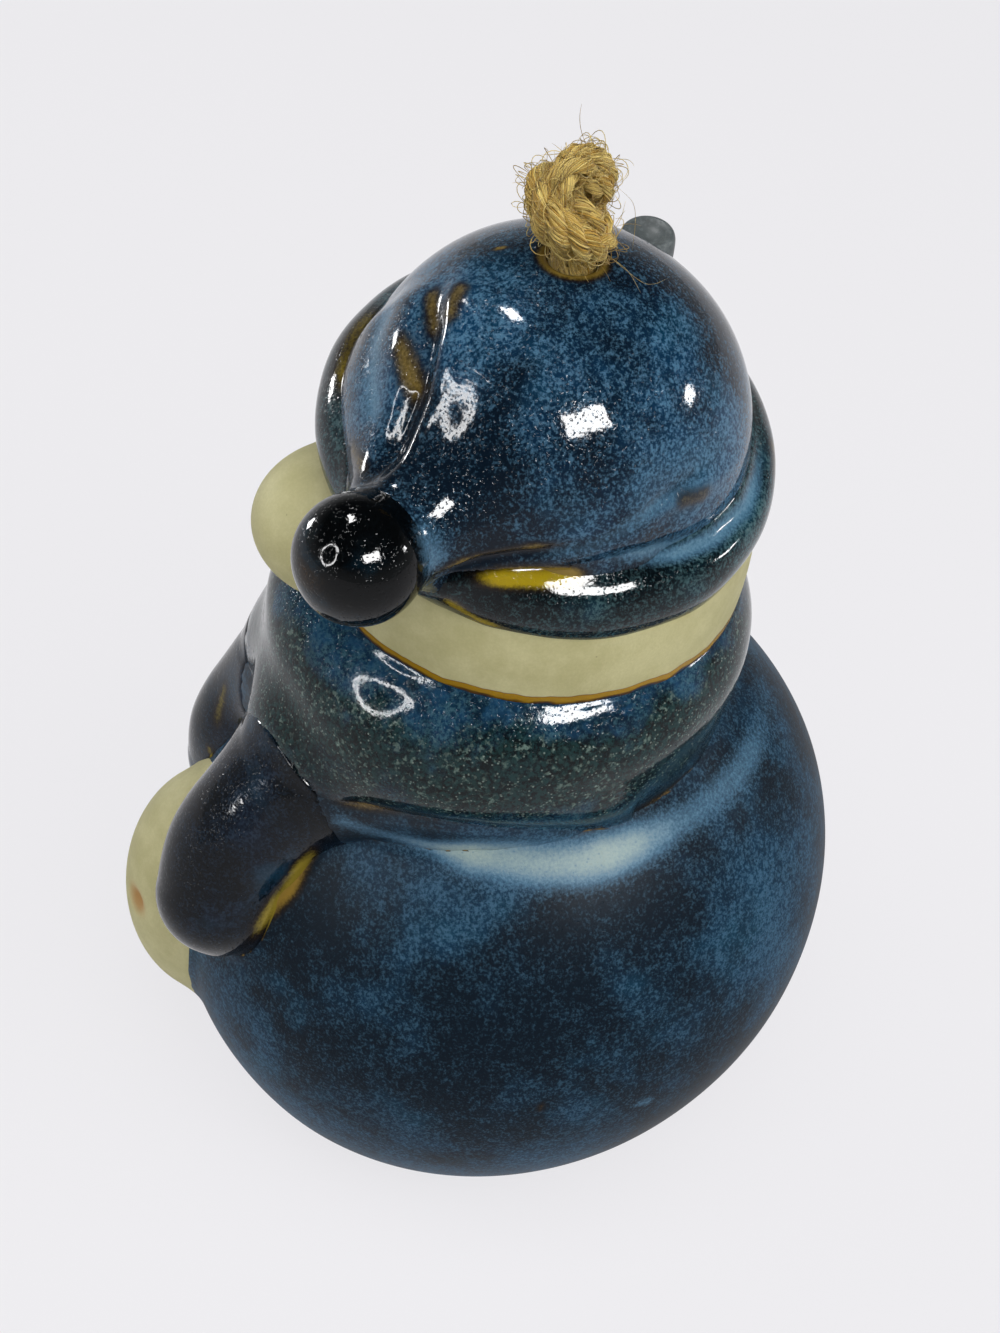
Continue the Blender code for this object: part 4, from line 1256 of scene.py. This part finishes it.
class Rope:
    """Gathers strands into one mesh, each with its length and its own tone."""

    def __init__(self, seed):
        self.corners = []
        self.faces = []
        self.fibre = []
        self.tones = []
        self.chance = random.Random(seed)

    def strand(self, points, radius, closed, sides=6, taper=False):
        frames = frames_along(points, closed)
        count = len(points)
        first = len(self.corners)
        tone = self.chance.random()
        shift = self.chance.random() * 40
        gap = (points[1] - points[0]).length / MM
        for i, (point, (side, up)) in enumerate(zip(points, frames)):
            size = radius
            if taper:
                size *= min(1.0, 0.35 + 2 * min(i, count - 1 - i) / count)
            for k in range(sides):
                angle = math.tau * k / sides
                self.corners.append(point + size * (side * math.cos(angle) + up * math.sin(angle)))
                self.tones.append(tone)
        rows = count if closed else count - 1
        for i in range(rows):
            for k in range(sides):
                a = first + i * sides + k
                b = first + i * sides + (k + 1) % sides
                c = first + ((i + 1) % count) * sides + (k + 1) % sides
                d = first + ((i + 1) % count) * sides + k
                self.faces.append((a, b, c, d))
                left, right = k / sides, (k + 1) / sides
                low, high = shift + i * gap, shift + (i + 1) * gap
                self.fibre.append(((left, low), (right, low), (right, high), (left, high)))
        if not closed:
            near = tuple(first + k for k in reversed(range(sides)))
            far = tuple(first + (count - 1) * sides + k for k in range(sides))
            self.faces += [near, far]
            self.fibre += [((0.5, shift),) * sides, ((0.5, shift),) * sides]

    def cord(self, route, closed=False, radius=CORD_RADIUS, lay=0.010):
        """Three plies twisted one way, each of fine strands twisted the other way."""
        points = evenly(route, ROPE_STEP, closed)
        frames = frames_along(points, closed)
        length = sum((b - a).length for a, b in zip(points, points[1:]))
        turns = length / lay
        if closed:
            turns = max(round(turns), 1)
        ply_radius = radius * 0.50
        for ply in range(3):
            middles = []
            for i, (point, (side, up)) in enumerate(zip(points, frames)):
                angle = math.tau * (turns * i / len(points) + ply / 3)
                middles.append(point + (side * math.cos(angle) + up * math.sin(angle)) * ply_radius)
            ply_frames = frames_along(middles, closed)
            self.strand(middles, ply_radius * 0.80, closed)
            own_turns = -round(turns * 1.6) if closed else -turns * 1.6
            for number in range(PLY_STRANDS):
                loose = 0.80 + 0.26 * self.chance.random() ** 2
                line = []
                for i, (point, (side, up)) in enumerate(zip(middles, ply_frames)):
                    angle = math.tau * (own_turns * i / len(points) + number / PLY_STRANDS)
                    jitter = 1 + 0.30 * noise.noise(point / 0.0014 + Vector((number, ply, 0)))
                    offset = (side * math.cos(angle) + up * math.sin(angle)) * ply_radius * loose * jitter
                    line.append(point + offset)
                self.strand(line, ply_radius * (0.09 + 0.08 * self.chance.random()), closed, sides=4)

    def wisps(self, route, count, reach, lengths, radius=FINE_FIBRE):
        """Stray fibres that leave the cord, most of them hugging it."""
        for _ in range(count):
            spot = route[self.chance.randrange(len(route) - 1)]
            heading = Vector([self.chance.gauss(0, 1) for _ in range(3)]).normalized()
            point = spot + heading * CORD_RADIUS * 0.92
            side = heading.orthogonal().normalized()
            turn = Matrix.Rotation(self.chance.random() * math.tau, 3, heading)
            step_way = (turn @ side) * 0.9 + heading * reach * self.chance.random()
            curl = Vector([self.chance.gauss(0, 1) for _ in range(3)]).normalized()
            length = lengths[0] + (lengths[1] - lengths[0]) * self.chance.random() ** 2
            line = []
            bend = Matrix.Rotation(self.chance.gauss(0, 0.22), 3, curl)
            for _ in range(WISP_STEPS):
                line.append(point.copy())
                point = point + step_way.normalized() * length / WISP_STEPS
                step_way = bend @ step_way
                away = point - spot
                if reach < 0.4 and away.length > CORD_RADIUS * 1.3:
                    step_way -= away.normalized() * 0.25
            self.strand(line, radius, False, sides=3, taper=True)

    def fan(self, top, low, narrow, wide, count):
        """Loose fibres that spread from the cord into the rim of the hole."""
        for _ in range(count):
            angle = self.chance.random() * math.tau
            turn = self.chance.gauss(0.9, 0.7)
            swell = self.chance.random()
            line = []
            for i in range(9):
                share = i / 8
                reach = narrow + (wide - narrow) * share ** (0.6 + swell)
                around = angle + turn * share
                height = top + (low - top) * share
                line.append(Vector((reach * math.cos(around), AXIS_Y + reach * math.sin(around), height)))
            self.strand(line, 0.00009 + 0.00006 * self.chance.random(), False, sides=4)

    def made(self, name):
        mesh = bpy.data.meshes.new(name)
        mesh.from_pydata(self.corners, [], self.faces)
        layer = mesh.uv_layers.new(name="fibre")
        flat = [number for face in self.fibre for pair in face for number in pair]
        layer.data.foreach_set("uv", flat)
        piece = linked(name, mesh)
        mark(piece, "strand", self.tones)
        mesh.update()
        mesh.shade_smooth()
        return piece


def knot_route(stations, closed=False):
    points = [(at_knot(*(size * MM for size in row)), 0.0) for row in stations]
    return [point for point, _ in smooth_route(points, 10, closed)]


def ring_route(centre, radius, slope):
    axis = place(KNOT_FACING, 1, 0) - Vector((0, AXIS_Y, 0))
    tip = Matrix.Rotation(slope, 3, axis)
    points = []
    for i in range(36):
        angle = math.tau * i / 36
        points.append(centre + tip @ Vector((radius * math.cos(angle), radius * math.sin(angle), 0)))
    return points


def on_axis(heights):
    return [Vector((0, AXIS_Y, height)) for height in heights]


def small_knot(name, height, radius, seed, top, bottom):
    """A knot of two crossed turns over the cord."""
    rope = Rope(seed)
    centre = Vector((0, AXIS_Y, height))
    for slope, rise in ((0.45, 0.0007), (-0.4, -0.0006)):
        route = ring_route(centre + Vector((0, 0, rise)), radius - CORD_RADIUS, slope)
        rope.cord(route, closed=True)
    rope.cord(on_axis([top + (bottom - top) * i / 8 for i in range(9)]))
    rope.wisps(on_axis([height + 0.002, height, height - 0.002]), 40, 0.5, (0.002, 0.006))
    return rope.made(name)


def sky():
    """Soft studio light from all round: a pale room low down, darker above."""
    world = bpy.data.worlds.new("studio")
    bpy.context.scene.world = world
    world.use_nodes = True
    tree = world.node_tree
    back = tree.nodes["Background"].inputs
    where = put(tree, "ShaderNodeTexCoord", "Generated")
    low = between(put(tree, "ShaderNodeSeparateXYZ", "Z", {"Vector": where}), 0.0, 0.55, 0.60, 0.05)
    share = between(put(tree, "ShaderNodeLightPath", "Is Glossy Ray"), 0, 1, 0.6, 0.8)
    seen = put(tree, "ShaderNodeLightPath", "Is Camera Ray")
    feed(back["Strength"], (low * share).math("MAXIMUM", seen))
    feed(back["Color"], (0.96, 0.98, 1.0, 1))


def axes():
    """Level directions as the camera sees them: image right, and towards the camera."""
    facing = math.radians(CAMERA_FACING)
    right = Vector((math.cos(facing), math.sin(facing), 0))
    return right, Vector((math.sin(facing), -math.cos(facing), 0))


def lamp(name, azimuth, elevation, distance, size, level, mirrored=True, spin=0):
    """An area lamp of that radiance. Soft lamps light the clay, mirrored ones only shine.
    Azimuth 0 is towards the camera, and + is image right."""
    data = bpy.data.lights.new(name, "AREA")
    data.shape = "RECTANGLE"
    data.size, data.size_y = size
    data.energy = level * math.pi * size[0] * size[1]
    made = linked(name, data)
    right, near = axes()
    flat = math.radians(azimuth)
    up = math.radians(elevation)
    way = (right * math.sin(flat) + near * math.cos(flat)) * math.cos(up) + Vector((0, 0, math.sin(up)))
    made.location = Vector((0, AXIS_Y, LAMP_CENTRE_Z)) + way * distance
    made.rotation_euler = way.to_track_quat("Z", "Y").to_euler()
    made.rotation_euler.rotate_axis("Z", math.radians(spin))
    made.visible_glossy = mirrored
    made.visible_diffuse = not mirrored
    made.visible_camera = False
    return made


def into_ring(made, inner):
    """Leaves only the rim of a lamp alight, as a ring lamp has it."""
    made.data.use_nodes = True
    tree = made.data.node_tree
    spot = put(tree, "ShaderNodeNewGeometry", "Parametric")
    inputs = {0: spot, 1: (0.5, 0.5, 0.0)}
    reach = put(tree, "ShaderNodeVectorMath", "Value", inputs, operation="DISTANCE")
    rim = between(reach, inner - 0.02, inner + 0.02) * between(reach, 0.48, 0.5, 1, 0)
    feed(tree.nodes["Emission"].inputs["Strength"], rim)


def camera():
    first, near = axes()
    right, up = (first * x - near * y + Vector((0, 0, z)) for x, y, z in (CAMERA_RIGHT, CAMERA_UP))
    data = bpy.data.cameras.new("photo_camera")
    data.sensor_width = SENSOR
    data.lens = FOCAL_PIXELS * SENSOR / IMAGE_HEIGHT
    data.clip_start = 0.01
    made = linked("photo_camera", data)
    matrix = Matrix((right, up, right.cross(up))).transposed().to_4x4()
    matrix.translation = CAMERA_PLACE
    made.matrix_world = matrix
    bpy.context.scene.camera = made


def floor():
    bpy.ops.object.select_all(action="DESELECT")
    bpy.ops.mesh.primitive_plane_add(size=6, location=(0, 0, -0.00005))
    piece = settle(bpy.context.object, "studio_floor")
    made, tree, surface = new_material("white_paper", {"Roughness": 0.9, "Base Color": colour("e9e8eb")})
    glow = put(tree, "ShaderNodeEmission", 0, {"Color": colour("efeef1"), "Strength": 1.0})
    seen = put(tree, "ShaderNodeLightPath", "Is Camera Ray")
    for ray in ("Is Glossy Ray", "Is Transmission Ray"):
        seen = seen.math("MAXIMUM", put(tree, "ShaderNodeLightPath", ray))
    plain = Value(tree.nodes["Principled BSDF"].outputs[0])
    blend = put(tree, "ShaderNodeMixShader", 0, {0: seen * 0.88, 1: plain, 2: glow})
    feed(tree.nodes["Material Output"].inputs["Surface"], blend)
    piece.data.materials.append(made)


# Camera, floor and light

camera()
floor()
sky()
lamp("soft_overhead", 15, 70, 0.7, (0.7, 0.7), 3.5, mirrored=False)
lamp("soft_side", 70, 30, 0.8, (0.6, 0.6), 1.6, mirrored=False)
lamp("soft_left", -95, 22, 0.8, (0.6, 0.6), 1.3, mirrored=False)
into_ring(lamp("ring_lamp", -57, 28, 0.45, (0.25, 0.33), 40), 0.40)
lamp("window_a", -134, 66, 0.6, (0.09, 0.14), 66, spin=150)
lamp("window_b", 35, 43, 0.6, (0.25, 0.14), 66)
lamp("window_d", 97, 19, 0.6, (0.08, 0.06), 60)
lamp("window_e", -122, 4, 0.6, (0.09, 0.09), 45)

# Cords

twine = jute("jute_twine")

knot_rope = Rope(11)
band = knot_route(KNOT_BAND, closed=True)
stem = knot_route(KNOT_STEM)
inside = knot_route(KNOT_INNER, closed=True)
knot_rope.cord(band, closed=True)
knot_rope.cord(stem)
knot_rope.cord(inside, closed=True)
knot_rope.cord(knot_route(KNOT_CORE, closed=True), closed=True, radius=CORD_RADIUS * 0.8)
knot_rope.fan(0.1312, 0.1262, 0.0017, 0.0026, 220)
knot_rope.wisps(band, 240, 0.25, (0.003, 0.008), COARSE_FIBRE)
knot_rope.wisps(stem[14:], 130, 0.25, (0.003, 0.007), COARSE_FIBRE)
knot_rope.wisps(inside, 80, 0.3, (0.002, 0.005), COARSE_FIBRE)
knot_rope.wisps(band, 30, 1.2, (0.003, 0.006))
for stations in STRAY_FIBRES:
    knot_rope.strand(evenly(knot_route(stations), 0.0003), 0.00003, False, sides=3, taper=True)
top_knot = knot_rope.made("top_knot_rope")

loop_rope = Rope(23)
loop_points = knot_route(HANGING_LOOP)
loop_rope.cord(loop_points)
loop_rope.wisps(loop_points, 200, 0.25, (0.003, 0.008), COARSE_FIBRE)
loop_rope.wisps(loop_points, 24, 1.2, (0.002, 0.006))
hanging_loop = loop_rope.made("hanging_loop_rope")

stop_knot = small_knot(
    "stop_knot_rope", STOP_KNOT_Z, STOP_KNOT_RADIUS, 31, STOP_KNOT_Z + 0.0042, STOP_KNOT_Z - 0.0038
)
end_knot = small_knot("end_knot_rope", END_KNOT_Z, END_KNOT_RADIUS, 37, END_KNOT_Z + 0.0038, CORD_END_Z)

clapper_rope = Rope(41)
cord_length = CLAPPER_CORD_TOP - CLAPPER_CORD_BOTTOM
cord_points = on_axis([CLAPPER_CORD_TOP - cord_length * i / 24 for i in range(25)])
clapper_rope.cord(cord_points)
clapper_cord = clapper_rope.made("clapper_cord_rope")

# Fired pieces

pieces = {
    "bell_body": bell_body(),
    "head": head(),
    "hat_crown": hat_crown(),
    "scarf_collar": scarf_collar(),
    "hat_brim": hat_brim(),
    "hat_tail": hat_tail(),
    "pom_pom": pom_pom(),
    "hat_stub": hat_stub(),
    "left_sleeve": sleeve("left_sleeve_skin", LEFT_SLEEVE),
    "right_sleeve": sleeve("right_sleeve_skin", RIGHT_SLEEVE),
    "belly": belly(),
    "nose": nose(),
    "left_eye": eye("left_eye_skin", 1),
    "right_eye": eye("right_eye_skin", -1),
}

# Width of each fillet, and whether the crease shows a thin tan line
joins = {
    ("bell_body", "scarf_collar"): (0.0024, True),
    ("bell_body", "left_sleeve"): (0.0024, True),
    ("bell_body", "right_sleeve"): (0.0024, True),
    ("bell_body", "belly"): (0.0026, False),
    ("scarf_collar", "left_sleeve"): (0.0090, False),
    ("scarf_collar", "right_sleeve"): (0.0090, False),
    ("belly", "left_sleeve"): (0.0012, False),
    ("belly", "right_sleeve"): (0.0012, False),
    ("head", "scarf_collar"): (0.0008, False),
    ("head", "nose"): (0.0022, False),
    ("hat_crown", "hat_brim"): (0.0012, False),
    ("hat_crown", "hat_tail"): (0.0060, False),
    ("hat_tail", "hat_brim"): (0.0024, False),
    ("hat_tail", "pom_pom"): (0.0014, False),
    ("hat_brim", "head"): (0.0008, True),
    ("hat_stub", "hat_crown"): (0.0016, False),
    ("hat_stub", "hat_brim"): (0.0016, False),
}
trees = {name: tree_of(piece) for name, piece in pieces.items()}
for name, piece in pieces.items():
    neighbours = [(b if a == name else a, *join) for (a, b), join in joins.items() if name in (a, b)]
    melt(piece, neighbours, trees)
shape(pieces["hat_tail"], tucked)

for name in ("hat_crown", "hat_tail", "hat_brim", "pom_pom", "hat_stub"):
    brushed(pieces[name], HAT_STROKES, HAT_CLOUDS)
brushed(pieces["bell_body"], BODY_STROKES + SLEEVE_STROKES, BODY_CLOUDS_AND_SHADE)
brushed(pieces["scarf_collar"], SCARF_STROKES + BODY_STROKES, BODY_CLOUDS_AND_SHADE)
for name in ("left_sleeve", "right_sleeve"):
    brushed(pieces[name], SLEEVE_STROKES + SCARF_STROKES)
for name in ("head", "belly", "nose"):
    mark(pieces[name], "edge", distances(pieces[name], trees["scarf_collar"], 0.005))
navel = place(NAVEL_ANGLE, NAVEL_REACH, NAVEL_Z)
mark(pieces["belly"], "stain", [stained(vertex.co, navel) for vertex in pieces["belly"].data.vertices])

speckled = glaze_group()
satin = glaze("satin_blue_glaze", speckled, *SATIN_LOOK)[0]
blue, rolled_blue, dark, black, grey = (glaze(name, speckled, *look)[0] for name, *look in OTHER_LOOKS)
green = crystal_glaze("green_blue_glaze", speckled, *SCARF_LOOK)
clay = bare_clay("bare_stoneware", colour("cac494"), colour("b9b382"))
brown = stained_clay("iron_stain")
finishes = {
    "bell_body": (satin, "floating_blue_glaze"),
    "hat_crown": (blue, "floating_blue_glaze"),
    "hat_tail": (blue, "floating_blue_glaze"),
    "scarf_collar": (green, "green_blue_glaze"),
    "hat_brim": (rolled_blue, "dark_blue_glaze"),
    "pom_pom": (black, "dark_blue_glaze"),
    "hat_stub": (grey, "dark_blue_glaze"),
    "left_sleeve": (dark, "dark_blue_glaze"),
    "right_sleeve": (dark, "dark_blue_glaze"),
    "head": (clay, "bare_clay"),
    "nose": (clay, "bare_clay"),
    "belly": (clay, "bare_clay"),
    "left_eye": (brown, "iron_brown"),
    "right_eye": (brown, "iron_brown"),
}

striker = clapper()
mark(striker, "edge", [5.0] * len(striker.data.vertices))

# What each piece is made of, and the solid that it stands for
ropes = {
    "top_knot": (top_knot, "cord"),
    "hanging_loop": (hanging_loop, "cord"),
    "stop_knot": (stop_knot, "cord"),
    "end_knot": (end_knot, "clapper"),
    "clapper_cord": (clapper_cord, "clapper"),
}
shown = [(node, piece, body, twine, "jute") for node, (piece, body) in ropes.items()]
shown += [(node, piece, "bell", *finishes[node]) for node, piece in pieces.items()]
shown.append(("clapper", striker, "clapper", clay, "bare_clay"))
for node, piece, body, finish, slot in shown:
    piece.data.materials.append(finish)
    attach(piece, body)
    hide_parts(node)

bpy.context.scene.view_settings.view_transform = "Standard"
